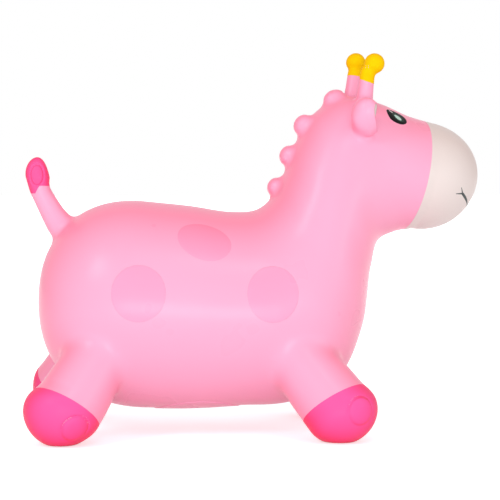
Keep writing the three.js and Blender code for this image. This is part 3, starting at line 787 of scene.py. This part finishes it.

# %% [markdown]
# ## Soft PVC
# The finish of such toys is a smooth, half glossy vinyl: a soft highlight with blurred edges and
# hardly any grain. Principled BSDF has what that takes. Noise on Object coordinates breaks up colour
# and gloss a little, and a fine bump gives the faint grain of the mould. The colour also holds
# painted shade and painted light. The object normal turns it from a pale tone where the skin faces
# sideways to a fuller, darker painted shade where it turns to the front, back, top or bottom. It also
# paints undersides a little paler and tops a little fuller, as if they were lit from below.

# %% A function for every vinyl finish
def rgb(red, green, blue):
    """A linear colour from the usual 0 to 255 values."""
    share = [c / 255 for c in (red, green, blue)]
    return tuple(c / 12.92 if c <= 0.04045 else ((c + 0.055) / 1.055) ** 2.4 for c in share) + (1.0,)


CLOUD_SCALE = 9.0
CLOUD_SHARE = 0.12
PORE_SCALE = 900.0
PORE_DEPTH = 0.12 * MM


def vinyl(title, flat, full, roughness, shine, painted_light_below=0.3, coat=0.0):
    """Soft PVC whose colour holds painted shade and light: pale where the skin faces sideways, fuller where it
    turns away, paler below.
    """
    material = bpy.data.materials.new(title)
    material.use_nodes = True
    tree = material.node_tree
    shader = tree.nodes["Principled BSDF"].inputs
    where = node(tree, "ShaderNodeTexCoord").outputs
    cloud = node(tree, "ShaderNodeTexNoise", {
        "Vector": where["Object"], "Scale": CLOUD_SCALE, "Detail": 3.0}).outputs["Fac"]
    facing = node(tree, "ShaderNodeSeparateXYZ", {"Vector": where["Normal"]}).outputs
    # Painted shade: the sideways part of the normal keeps the pale colour on the sides and gives the fuller,
    # darker one where the skin turns away.
    sideways = maths(tree, "ABSOLUTE", facing["Y"])
    painted_edge_shade = node(tree, "ShaderNodeMapRange", {"Value": sideways, "From Min": 0.2, "From Max": 1.0},
                  interpolation_type="SMOOTHSTEP")
    # Painted light below: the given share pales down-facing skin and makes up-facing skin fuller; a negative
    # share paints undersides darker.
    below = maths(tree, "MULTIPLY_ADD", facing["Z"], -painted_light_below, -CLOUD_SHARE / 2)
    cloud_and_painted_light = maths(tree, "MULTIPLY_ADD", cloud, CLOUD_SHARE, below)
    share = maths(tree, "ADD", painted_edge_shade.outputs[0], cloud_and_painted_light, use_clamp=True)
    # Mix of the fuller painted-shade colour and the pale side colour, nudged by the cloud's random tone.
    colour_and_painted_shade = node(tree, "ShaderNodeMix", {"Factor": share}, data_type="RGBA")
    colour_and_painted_shade.inputs[6].default_value = rgb(*full)
    colour_and_painted_shade.inputs[7].default_value = rgb(*flat)
    gloss = node(tree, "ShaderNodeMapRange", {
        "Value": cloud, "From Min": 0.3, "From Max": 0.7,
        "To Min": roughness - 0.03, "To Max": roughness + 0.04})
    pores = node(tree, "ShaderNodeTexNoise", {
        "Vector": where["Object"], "Scale": PORE_SCALE, "Detail": 2.0})
    bump = node(tree, "ShaderNodeBump", {
        "Height": pores.outputs["Fac"], "Strength": 0.05, "Distance": PORE_DEPTH})
    tree.links.new(colour_and_painted_shade.outputs[2], shader["Base Color"])
    tree.links.new(gloss.outputs[0], shader["Roughness"])
    tree.links.new(bump.outputs[0], shader["Normal"])
    shader["Coat Weight"].default_value = coat
    shader["Coat Roughness"].default_value = 0.28
    shader["Specular IOR Level"].default_value = shine
    shader["IOR"].default_value = 1.5
    return material


# A finish's colour where the skin faces sideways, its fuller colour of painted shade where the skin turns away,
# its roughness and its shine, and where given the share of painted light that pales undersides (below zero,
# painted shade darkens them)
FINISHES = {
    "skin": vinyl("pink_vinyl", (255, 173, 205), (255, 144, 174), 0.29, 0.24),
    "hoof": vinyl("magenta_hoof", (253, 92, 164), (253, 56, 106), 0.42, 0.12, painted_light_below=-0.2),
    "tuft": vinyl("magenta_tuft", (255, 92, 158), (255, 54, 108), 0.42, 0.12, painted_light_below=0.0),
    "knob": vinyl("yellow_knob", (254, 208, 0), (254, 192, 0), 0.6, 0.05),
    "cream": vinyl("cream_muzzle", (233, 219, 215), (224, 204, 198), 0.36, 0.18, painted_light_below=0.8),
    "spot": vinyl("pink_spot", (253, 163, 199), (255, 128, 160), 0.29, 0.24),
    "eye": vinyl("black_eye", (14, 8, 10), (9, 6, 7), 0.4, 0.06),
    "iris": vinyl("green_iris", (48, 66, 58), (36, 50, 44), 0.4, 0.06),
    "glint": vinyl("mint_glint", (190, 218, 206), (178, 206, 194), 0.4, 0.2),
    "blush": vinyl("grey_glint", (214, 200, 202), (202, 188, 190), 0.4, 0.2),
    "line": vinyl("grey_line", (84, 88, 88), (72, 74, 74), 0.5, 0.2),
    "plug": vinyl("white_plug", (240, 238, 234), (226, 224, 220), 0.42, 0.4, coat=0.05),
}
print("finishes", sorted(FINISHES))

# %% [markdown]
# ## The skin and its coats of paint
# The whole skin is one closed piece. A coat of paint is a thin closed shell over its part of the
# skin: the outer face a tenth of a millimetre proud, the inner face sunk just under the skin, and a
# rim that joins them. To keep the shading steady across the edge of the paint, the coat takes the
# skin's own normals.

# %% Finish a piece
def shade_smooth(mesh):
    """Shades all faces of a mesh as one soft skin."""
    mesh.polygons.foreach_set("use_smooth", np.ones(len(mesh.polygons), bool))


def finished(title, mesh, finish, nodes, body="hopper"):
    """Gives a mesh its finish, makes it a piece, ties it to its body and hides the solids it stands for."""
    mesh.materials.clear()
    mesh.materials.append(FINISHES[finish])
    shade_smooth(mesh)
    piece = plain_object(title, mesh)
    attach(piece, body)
    if nodes:
        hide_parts(*nodes)


PLAIN_SKIN = ("barrel_skin", "neck_skin", "head_skin", "tail_skin", "horn_left", "horn_right")
SKIN_NODES = [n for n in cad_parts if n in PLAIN_SKIN or n.startswith(("leg_", "mane_"))]
full_mesh = skin_mesh.copy()
set_places(full_mesh, in_frame(mesh_vectors(skin_mesh)))
skin_normals = mesh_vectors(full_mesh, "normal")
skin_places = mesh_vectors(full_mesh)
skin_faces = [tuple(p.vertices) for p in skin_mesh.polygons]
print("skin stands for", len(SKIN_NODES), "solids,", len(skin_places), "points")

# %% [markdown]
# The calm flanks need fewer faces than the toes. A Decimate modifier joins points there, and a
# vertex group keeps it off everything that is painted. Data Transfer then hands the full skin's
# normals to the lighter one, so that its highlights stay as smooth as before.

# %% Fewer faces on the flanks
FACES_KEPT = 0.66
shade_smooth(full_mesh)
full_skin = plain_object("full_skin", full_mesh)
light_skin = plain_object("light_skin", full_mesh.copy())
unpainted = np.ones(len(skin_places), bool)
for face in np.nonzero(paint_number)[0]:
    unpainted[list(skin_faces[face])] = False
flanks = light_skin.vertex_groups.new(name="flanks")
flanks.add(np.nonzero(unpainted)[0].tolist(), 1.0, "REPLACE")
fewer = light_skin.modifiers.new("Fewer faces", "DECIMATE")
fewer.ratio = FACES_KEPT
fewer.vertex_group = "flanks"
shading = light_skin.modifiers.new("Same shading", "DATA_TRANSFER")
shading.object = full_skin
shading.use_loop_data = True
shading.data_types_loops = {"CUSTOM_NORMAL"}
shading.loop_mapping = "POLYINTERP_NEAREST"
light_mesh = made_mesh(light_skin, "skin")
for helper in (light_skin, full_skin):
    drop(helper)
finished("skin", light_mesh, "skin", SKIN_NODES)
print("skin of", len(light_mesh.polygons), "faces")

# %% Coats of paint
PAINT_LIFT = 0.12
PAINT_DEPTH = 0.25


def coat(title, number, finish, nodes):
    """A thin closed shell over the faces of one colour."""
    chosen = [skin_faces[i] for i in np.nonzero(paint_number == number)[0]]
    used = sorted({i for face in chosen for i in face})
    index = {old: new for new, old in enumerate(used)}
    normals = skin_normals[used]
    outer = skin_places[used] + normals * PAINT_LIFT * MM
    inner = skin_places[used] - normals * PAINT_DEPTH * MM
    outer[:, 2] = np.maximum(outer[:, 2], 0)
    inner[:, 2] = np.maximum(inner[:, 2], (SOLE_PAINT + PAINT_DEPTH) * MM)
    front = [tuple(index[i] for i in face) for face in chosen]
    count = len(used)
    back = [tuple(count + i for i in reversed(face)) for face in front]
    edges = {(a, b) for face in front for a, b in zip(face, face[1:] + face[:1])}
    rim = [(b, a, count + a, count + b) for a, b in edges if (b, a) not in edges]
    mesh = mesh_from(title, np.vstack([outer, inner]), front + back + rim)
    finished(title, mesh, finish, nodes)
    loops = [tuple(normals[i]) for face in front for i in face]
    loops += [tuple(-normals[i - count]) for face in back for i in face]
    rim_normals = [tuple(face.normal) for face in mesh.polygons[len(front) + len(back):]]
    loops += [normal for normal in rim_normals for _ in range(4)]
    mesh.normals_split_custom_set(loops)


PAINTS = {"hoof": ("hoof", "{}"), "knob": ("knob", "horn_{}"), "muzzle": ("cream", "{}_skin"),
          "tuft": ("tuft", "tail_{}")}
for number, name in enumerate(coats, 1):
    finish, solid_name = PAINTS[name.split("_")[0]]
    coat(f"{name}_coat", number, finish, [solid_name.format(name)])
print("coats", coats)

# %% [markdown]
# ## Ears
# An ear is a leaf: round at the back, cut flat in front and hollowed there, with a rim. As rings
# round one axis it is quick to make: the rings go from the middle of the back out to the rim, over
# it, and down into the hollow. Mirror would make the second ear, but the sides only differ by a
# sign, which the function takes.

# %% Two leaves
EAR_SINK = 1.5
EAR_LIFT = 0.3
CREAM_LIFT = 0.35
CREAM_SINK = 0.3


def ear_lift(forward):
    """The leaf stands a little proud of the skin near its rim and sinks below it at the back."""
    return EAR_LIFT * eased(forward, -2, 4) - EAR_SINK * (1 - eased(forward, -7, 3))


widest = math.sqrt(1 - (EAR_FACE / EAR_HALF_DEPTH) ** 2)
rim_width, rim_length = (half * widest + EAR_LIFT for half in (EAR_HALF_WIDTH, EAR_LENGTH / 2))
over_rim = []
for a in np.linspace(0, math.pi, 9)[1:]:
    inwards = EAR_RIM / 2 * (1 - math.cos(a))
    over_rim.append((EAR_FACE + EAR_RIM / 2 * math.sin(a), rim_width - inwards, rim_length - inwards))
in_hollow = [(EAR_FACE - EAR_HOLLOW * math.sin(a), (rim_width - EAR_RIM) * math.cos(a),
              (rim_length - EAR_RIM) * math.cos(a)) for a in np.linspace(0, math.pi / 2, 14)[1:-1]]
hollow_end = EAR_FACE - EAR_HOLLOW
leaf_rings = ear_back(EAR_FACE, ear_lift) + over_rim + in_hollow
above = [(f + CREAM_LIFT, w, l) for f, w, l in over_rim[-2:] + in_hollow]
below = [(f - CREAM_SINK, w + CREAM_SINK, l + CREAM_SINK) for f, w, l in in_hollow]
cream_rings = above[::-1] + over_rim[-1:] + below
for name, side in SIDES.items():
    axes = ear_frame(side)
    points, faces = leaf(leaf_rings, (EAR_SINK - EAR_HALF_DEPTH, hollow_end), axes)
    leaf_mesh = face_outwards(mesh_from("ear", in_frame(points), faces))
    finished(f"ear_leaf_{name}", leaf_mesh, "skin", [f"ear_{name}"])
    points, faces = leaf(cream_rings, (hollow_end + CREAM_LIFT, hollow_end - CREAM_SINK), axes)
    cream_mesh = face_outwards(mesh_from("ear_cream", in_frame(points), faces))
    finished(f"ear_cream_{name}", cream_mesh, "cream", [f"ear_lining_{name}"])
print("two ears,", round(rim_width * 2, 1), "mm wide at the rim")

# %% [markdown]
# ## Prints that follow the skin
# Spots, eyes and glints are printed ovals that bend with the skin. A Shrinkwrap modifier could lay
# a disc on it, but a Geometry Nodes tree does it for all of them, with the size and place as
# inputs: a flattened ball is thrown onto the skin with Raycast, each point lands there and is
# lifted by its own height in the ball. So the print is a closed film with a rounded edge, and it
# follows any curve below it.

# %% The tree that lays an oval on the skin
oval_tree, entry = new_tree(
    "oval_on_skin", Skin="Object", Centre="Vector", Along="Vector", Across="Vector", Throw="Vector",
    Thickness="Float", Point="Float", Material="Material")
target = node(oval_tree, "GeometryNodeObjectInfo", {"Object": entry["Skin"]})
ball = node(oval_tree, "GeometryNodeMeshUVSphere", {"Segments": 72, "Rings": 28, "Radius": 1.0})
spot_at = node(oval_tree, "GeometryNodeInputPosition")
parts = node(oval_tree, "ShaderNodeSeparateXYZ", {0: spot_at.outputs[0]}).outputs
behind = maths(oval_tree, "MULTIPLY", parts["X"], -1.0, use_clamp=True)
pinch = maths(oval_tree, "MULTIPLY", behind, entry["Point"])
narrow = maths(oval_tree, "SUBTRACT", 1.0, pinch)
width = maths(oval_tree, "MULTIPLY", parts["Y"], narrow)
along = vectors(oval_tree, "SCALE", entry["Along"], parts["X"])
across = vectors(oval_tree, "SCALE", entry["Across"], width)
flat = vectors(oval_tree, "ADD", along, across)
start = vectors(oval_tree, "ADD", flat, entry["Centre"])
hit = node(oval_tree, "GeometryNodeRaycast", {
    "Target Geometry": target.outputs["Geometry"], "Source Position": start,
    "Ray Direction": entry["Throw"], "Ray Length": 400.0}).outputs
height = maths(oval_tree, "MULTIPLY", parts["Z"], entry["Thickness"])
lift = vectors(oval_tree, "SCALE", hit["Hit Normal"], height)
landed = vectors(oval_tree, "ADD", hit["Hit Position"], lift)
moved = node(oval_tree, "GeometryNodeSetPosition", {"Geometry": ball.outputs[0], "Position": landed})
end_tree(oval_tree, moved.outputs[0], entry["Material"])

# %% Lay an oval
def printed_oval(title, centre, along, across, throw, thickness, finish, nodes, point=0.0):
    """An oval print: half axes along and across, thrown from its centre along a direction, as a piece."""
    holder = plain_object(title + "_maker", bpy.data.meshes.new(title + "_maker"))
    mesh = grown_mesh(title, holder, oval_tree, Skin=skin_form, Centre=tuple(centre), Along=tuple(along),
                      Across=tuple(across), Throw=tuple(throw), Thickness=thickness, Point=point,
                      Material=FINISHES[finish])
    set_places(mesh, in_frame(mesh_vectors(mesh)))
    finished(title, face_outwards(mesh), finish, nodes)


SPOTS = {
    "rear": ((-134, 173), (62, 65), 0),
    "back": ((-58, 231), (64, 52), -35),
    "front": ((19, 171), (59, 65), 0),
}
SPOT_FILM = 0.22
SPOT_THROW = 60
for name, side in SIDES.items():
    for label, ((x, z), (length, height), tilt) in SPOTS.items():
        point, normal = body_hit((x, side * OUTSIDE, z), (0, -side, 0))
        heading = Vector((math.cos(math.radians(tilt)), 0, math.sin(math.radians(tilt))))
        along = (heading - normal * heading.dot(normal)).normalized()
        across = normal.cross(along)
        printed_oval(f"spot_print_{label}_{name}", point + normal * SPOT_THROW, along * length / 2,
                     across * height / 2, -normal, SPOT_FILM, "spot", [f"spot_{label}_{name}"])
print("six spots")

# %% [markdown]
# ## Eyes and smile
# Each eye is four prints: a black almond, pointed towards the ear, a dark green iris on it, a pale
# glint on that and a second small glint near the point. The thicker film lies on top, and a table
# holds their sizes. The smile is a thin line across the muzzle with a small fork at each corner.

# %% Eyes
EYE_AT = (167.3, 37.4)
EYE_SLANT = 47
EYE_THROW = 40
# Each print's place along the eye and inwards, half sizes, film, point, finish and slot, and its solid
EYE_PRINTS = {
    "eye": ((0, 0), (14.5, 13.4), 0.25, 0.35, "eye", "eye", "eye"),
    "iris": ((1.5, 0), (10.2, 7.4), 0.4, 0.2, "iris", "eye", None),
    "glint": ((2.4, 0.6), (6.8, 4.4), 0.55, 0.15, "glint", "glint", "eye_glint"),
    "small_glint": ((-9.4, -0.8), (3.2, 1.7), 0.5, 0.3, "blush", "glint", None),
}
for name, side in SIDES.items():
    point, normal = body_hit((EYE_AT[0], side * EYE_AT[1], OUTSIDE), (0, 0, -1))
    heading = Vector((math.cos(math.radians(EYE_SLANT)), side * math.sin(math.radians(EYE_SLANT)), 0))
    along = (heading - normal * heading.dot(normal)).normalized()
    inward = normal.cross(along) * side
    above = point + normal * EYE_THROW
    for label, ((ahead, aside), (half_long, half_wide), film, pinch, finish, slot, solid) in EYE_PRINTS.items():
        printed_oval(f"{label}_print_{name}", above + along * ahead + inward * aside, along * half_long,
                     inward * half_wide, -normal, film, finish, [f"{solid}_{name}"] if solid else [],
                     point=pinch)
print("two eyes")

# %% [markdown]
# A line on the skin is made from a curve: Curve to Mesh gives it a round section, whose size
# follows each point's radius, and Geometry Proximity then presses the tube flat onto the muzzle, so
# that a thin closed stroke is left.

# %% The tree that presses a line onto the skin
line_tree, entry = new_tree("line_on_skin", Geometry="Geometry", Skin="Object", Flatness="Float",
                            Material="Material")
target = node(line_tree, "GeometryNodeObjectInfo", {"Object": entry["Skin"]})
even = node(line_tree, "GeometryNodeResampleCurve", {"Curve": entry["Geometry"], "Length": 1.0}, mode="LENGTH")
section = node(line_tree, "GeometryNodeCurvePrimitiveCircle", {"Resolution": 10, "Radius": 1.0})
size_of = node(line_tree, "GeometryNodeInputRadius")
tube = node(line_tree, "GeometryNodeCurveToMesh", {
    "Curve": even.outputs[0], "Profile Curve": section.outputs[0], "Fill Caps": True})
if "Scale" in tube.inputs:
    line_tree.links.new(size_of.outputs[0], tube.inputs["Scale"])
near = node(line_tree, "GeometryNodeProximity", {0: target.outputs["Geometry"]},
            target_element="FACES").outputs["Position"]
here = node(line_tree, "GeometryNodeInputPosition")
away = vectors(line_tree, "SUBTRACT", here.outputs[0], near)
pressed = vectors(line_tree, "SCALE", away, entry["Flatness"])
landed = vectors(line_tree, "ADD", near, pressed)
moved = node(line_tree, "GeometryNodeSetPosition", {"Geometry": tube.outputs[0], "Position": landed})
end_tree(line_tree, moved.outputs[0], entry["Material"])

# %% Smile
SMILE_RADIUS = 78
SMILE_CENTRE_Z = 342.7
SMILE_SWEEP = 41
SMILE_HALF_LINE = 1.3
SMILE_FLATNESS = 0.35
FORK = [(-10.5, 0.5), (-3.0, 7.5)]
FORK_ASIDE = 3


def on_muzzle(y, z):
    """The point of the muzzle straight ahead of the animal at this width and height."""
    return body_hit((OUTSIDE, y, z), (-1, 0, 0))[0]


strokes = []
sweep = np.radians(np.linspace(-SMILE_SWEEP, SMILE_SWEEP, 60))
strokes.append([(on_muzzle(SMILE_RADIUS * math.sin(a), SMILE_CENTRE_Z - SMILE_RADIUS * math.cos(a)),
                 SMILE_HALF_LINE * (0.7 + 0.7 * eased(abs(math.degrees(a)), 22, 36))) for a in sweep])
for side in SIDES.values():
    corner = strokes[0][-1 if side > 0 else 0][0]
    for back, up in FORK:
        line = []
        for s in np.linspace(0, 1, 8):
            guess = corner + Vector((back * s, side * FORK_ASIDE * s, up * s))
            line.append((body_tree.find_nearest(guess)[0], SMILE_HALF_LINE * (0.9 - 0.5 * s)))
        strokes.append(line)
curve = bpy.data.curves.new("smile_lines", "CURVE")
curve.dimensions = "3D"
for line in strokes:
    spline = curve.splines.new("POLY")
    spline.points.add(len(line) - 1)
    for bead, (at, radius) in zip(spline.points, line):
        bead.co = (*at, 1)
        bead.radius = radius
lines = plain_object("smile_lines", curve)
smile_mesh = grown_mesh("smile_print", lines, line_tree, Skin=skin_form, Flatness=SMILE_FLATNESS,
                        Material=FINISHES["line"])
set_places(smile_mesh, in_frame(mesh_vectors(smile_mesh)))
finished("smile_print", smile_mesh, "line", ["smile"])
print("smile of", len(strokes), "strokes,", len(smile_mesh.vertices), "points")

# %% [markdown]
# ## Valve and plug
# The valve is a round pad on the belly with a cup in its middle and a collar inside the toy. Its
# rings follow the belly as far as the cup and are round and level from there on. The plug has a
# flat head with a thumb edge and a tapered stem with sealing rings. Those repeat, so a small tree
# sets them along a line.

# %% Valve pad
PAD_RADIUS = 52
PAD_THICKNESS = 0.8
PAD_RINGS = (46, 38, 30, 24)
CUP_RADIUS = 17
CUP_DEPTH = 3.5
WALL = 2
COLLAR_RADIUS = 10
COLLAR_HEIGHT = 14
BORE_RADIUS = 7
cup_floor = belly_z + CUP_DEPTH


def valve_mesh(sides=96):
    """The pad's outer face, its cup and bore, the collar round them and the pad's inner face, as rings."""
    angle = np.linspace(0, 2 * math.pi, sides, endpoint=False)

    def belly(r):
        """Heights of the belly round the valve, at this distance from its axis."""
        return np.array([body_hit((VALVE_X + r * math.cos(a), r * math.sin(a), -OUTSIDE), UPRIGHT)[0].z
                         for a in angle])

    rounded = [(PAD_RADIUS + 0.3, 0.6), (PAD_RADIUS, -0.3), (PAD_RADIUS - 0.5, -0.7)]
    across = (PAD_RADIUS - 1.3, *PAD_RINGS, 20)
    face = rounded + [(r, -PAD_THICKNESS) for r in across]
    rings = [(r, belly(r) + lift) for r, lift in face]
    lip = belly(CUP_RADIUS + 1.5)
    rings.append((CUP_RADIUS + 1.2, lip - PAD_THICKNESS))
    rings.append((CUP_RADIUS + 0.3, lip - PAD_THICKNESS + 0.4))
    top = cup_floor + COLLAR_HEIGHT
    level = [(CUP_RADIUS, belly_z + 1.2), (CUP_RADIUS, cup_floor - 0.8), (CUP_RADIUS - 0.8, cup_floor),
             (BORE_RADIUS + 0.6, cup_floor), (BORE_RADIUS, cup_floor + 0.6), (BORE_RADIUS, top),
             (COLLAR_RADIUS, top), (COLLAR_RADIUS, cup_floor + WALL),
             (CUP_RADIUS + WALL, cup_floor + WALL), (CUP_RADIUS + WALL, belly_z + 1.5)]
    rings += [(r, np.full(sides, z)) for r, z in level]
    rings += [(r, belly(r) + 0.9) for r in (*PAD_RINGS[::-1], PAD_RADIUS - 0.5)]
    points = [(VALVE_X + r * math.cos(a), r * math.sin(a), z)
              for r, heights in rings for a, z in zip(angle, heights)]
    count = len(rings)
    at = lambda i, j: i % count * sides + j % sides
    faces = [(at(i, j), at(i, j + 1), at(i + 1, j + 1), at(i + 1, j))
             for i in range(count) for j in range(sides)]
    return face_outwards(mesh_from("valve", in_frame(np.array(points)), faces))


finished("valve", valve_mesh(), "skin", ["valve_pad"])
print("cup floor at", round(cup_floor, 2), "mm")

# %% Plug and sealing rings
PLUG_CLEARANCE = 0.3
HEAD_RADIUS = 13.5
HEAD_HEIGHT = 2.6
STEM = 18
HEAD_GAP = 0.3
RING_COUNT = 3
RING_STEP = 3.4
RING_START = 3.0
RING_BEAD = 0.5
RING_SINK = 0.15
shoulder = cup_floor - HEAD_GAP
stem_radius = BORE_RADIUS - PLUG_CLEARANCE - 0.3
profile = [(0, -HEAD_HEIGHT + 0.7), (7.5, -HEAD_HEIGHT + 0.6), (8.6, -HEAD_HEIGHT),
           (HEAD_RADIUS - 0.9, -HEAD_HEIGHT), (HEAD_RADIUS - 0.2, -HEAD_HEIGHT + 0.6),
           (HEAD_RADIUS, -HEAD_HEIGHT / 2), (HEAD_RADIUS - 0.5, -0.3), (HEAD_RADIUS - 1.2, 0),
           (stem_radius + 0.5, 0), (stem_radius, 0.5), (stem_radius, STEM * 0.66),
           (4.6, STEM - 0.7), (4.0, STEM), (0, STEM)]
points, faces = turned_form(profile, (VALVE_X, 0, shoulder), UPRIGHT, 64)
plug_mesh = face_outwards(mesh_from("plug", in_frame(points), faces))
finished("plug_body", plug_mesh, "plug", ["air_plug"], body="plug")

ring_tree, entry = new_tree("rings_on_line", Count="Int", Step="Vector", Start="Vector", Radius="Float",
                            Bead="Float", Material="Material")
line = node(ring_tree, "GeometryNodeMeshLine", {
    "Count": entry["Count"], "Start Location": entry["Start"], "Offset": entry["Step"]})
hoop, bead = (
    node(ring_tree, "GeometryNodeCurvePrimitiveCircle", {"Resolution": count, "Radius": radius}).outputs[0]
    for count, radius in ((64, entry["Radius"]), (12, entry["Bead"])))
hoop_mesh = node(ring_tree, "GeometryNodeCurveToMesh", {"Curve": hoop, "Profile Curve": bead})
copies = node(ring_tree, "GeometryNodeInstanceOnPoints", {
    "Points": line.outputs[0], "Instance": hoop_mesh.outputs[0]})
end_tree(ring_tree, copies.outputs[0], entry["Material"])
holder = plain_object("ring_maker", bpy.data.meshes.new("ring_maker"))
ring_mesh = grown_mesh(
    "plug_rings", holder, ring_tree, Count=RING_COUNT, Step=(0.0, 0.0, RING_STEP),
    Start=(VALVE_X, 0.0, shoulder + RING_START), Radius=stem_radius - RING_SINK, Bead=RING_BEAD,
    Material=FINISHES["plug"])
set_places(ring_mesh, in_frame(mesh_vectors(ring_mesh)))
finished("plug_rings", ring_mesh, "plug", [], body="plug")
print("plug", round(STEM + HEAD_HEIGHT, 1), "mm long with", RING_COUNT, "rings")
drop(skin_form)

# %% [markdown]
# ## Floor, light and camera
# A catalogue picture on white: soft lamps from the left, from the right and from above, one long
# low lamp in front that lifts the belly, and even light all round. The floor is pale. A share of
# its white comes from Emission that only the camera and mirrors see, so the floor is white in the
# picture, throws no extra light on the toy, and still takes a soft shadow.

# %% Floor and white surroundings
FLOOR_GAP = 0.0002
floor_mesh = mesh_from("floor", [(-8, -8, 0), (8, -8, 0), (8, 14, 0), (-8, 14, 0)], [(0, 1, 2, 3)])
floor = plain_object("floor", floor_mesh)
floor.location.z = -FLOOR_GAP


def seen_rays(tree):
    """One where the camera, a mirror or a clear thing looks, and zero for light that bounces."""
    path = node(tree, "ShaderNodeLightPath").outputs
    direct = maths(tree, "MAXIMUM", path["Is Camera Ray"], path["Is Glossy Ray"])
    return maths(tree, "MAXIMUM", direct, path["Is Transmission Ray"])


ground = bpy.data.materials.new("white_floor")
ground.use_nodes = True
tree = ground.node_tree
tree.nodes.clear()
chalk = node(tree, "ShaderNodeBsdfDiffuse", {"Color": (0.92, 0.92, 0.92, 1)})
where = node(tree, "ShaderNodeTexCoord")
distance = node(tree, "ShaderNodeVectorMath", {0: where.outputs["Object"]}, operation="LENGTH")
level = node(tree, "ShaderNodeMapRange", {
    "Value": distance.outputs["Value"], "From Min": 0.3, "From Max": 1.2, "To Min": 0.6, "To Max": 1.0})
glow = node(tree, "ShaderNodeEmission", {"Color": (1, 1, 1, 1), "Strength": level.outputs[0]})
dark = node(tree, "ShaderNodeEmission", {"Color": (0, 0, 0, 1), "Strength": 0.0})
lit = node(tree, "ShaderNodeMixShader", {0: seen_rays(tree), 1: dark.outputs[0], 2: glow.outputs[0]})
both = node(tree, "ShaderNodeAddShader", {0: chalk.outputs[0], 1: lit.outputs[0]})
node(tree, "ShaderNodeOutputMaterial", {"Surface": both.outputs[0]})
floor_mesh.materials.append(ground)

world = bpy.data.worlds.new("white_room")
bpy.context.scene.world = world
world.use_nodes = True
tree = world.node_tree
tree.nodes.clear()
room = node(tree, "ShaderNodeBackground", {"Color": (1, 1, 1, 1), "Strength": 0.64})
white = node(tree, "ShaderNodeBackground", {"Color": (1, 1, 1, 1), "Strength": 1.0})
mix = node(tree, "ShaderNodeMixShader", {0: seen_rays(tree), 1: room.outputs[0], 2: white.outputs[0]})
node(tree, "ShaderNodeOutputWorld", {"Surface": mix.outputs[0]})

# %% Lamps
TOY_MIDDLE = (0, 0, 0.22)


def lamp(title, at, aim, size, watts):
    """A rectangular lamp that looks at a point."""
    light = bpy.data.lights.new(title, "AREA")
    light.shape = "RECTANGLE"
    light.size, light.size_y = size
    light.energy = watts
    obj = bpy.data.objects.new(title, light)
    obj.location = at
    obj.rotation_euler = (Vector(aim) - Vector(at)).to_track_quat("-Z", "Y").to_euler()
    bpy.context.scene.collection.objects.link(obj)


lamp("left_softbox", (-1.3, -1.3, 1.42), TOY_MIDDLE, (0.45, 0.7), 9)
lamp("right_softbox", (1.8, -1.2, 0.58), TOY_MIDDLE, (0.35, 0.35), 3)
lamp("top_softbox", (0.3, -1.4, 1.9), TOY_MIDDLE, (0.35, 0.35), 3.5)
lamp("low_softbox", (-0.1, -2.2, 0.12), (0, 0, 0.15), (1.4, 0.2), 13)

# %% Camera
AZIMUTH, ELEVATION, DISTANCE = -4, 3, 2.0
AIM_HEIGHT = 0.2159
aim = Vector((SHIFT, 0, AIM_HEIGHT))
a, e = math.radians(AZIMUTH), math.radians(ELEVATION)
lens = bpy.data.cameras.new("photo_camera")
lens.lens = 120
lens.sensor_width = 36
camera = bpy.data.objects.new("photo_camera", lens)
towards = Vector((math.sin(a) * math.cos(e), -math.cos(a) * math.cos(e), math.sin(e)))
camera.location = aim + DISTANCE * towards
camera.rotation_euler = (aim - camera.location).to_track_quat("-Z", "Y").to_euler()
bpy.context.scene.collection.objects.link(camera)
bpy.context.scene.camera = camera
bpy.context.scene.view_settings.view_transform = "Standard"
print("camera at", [round(v, 3) for v in camera.location])
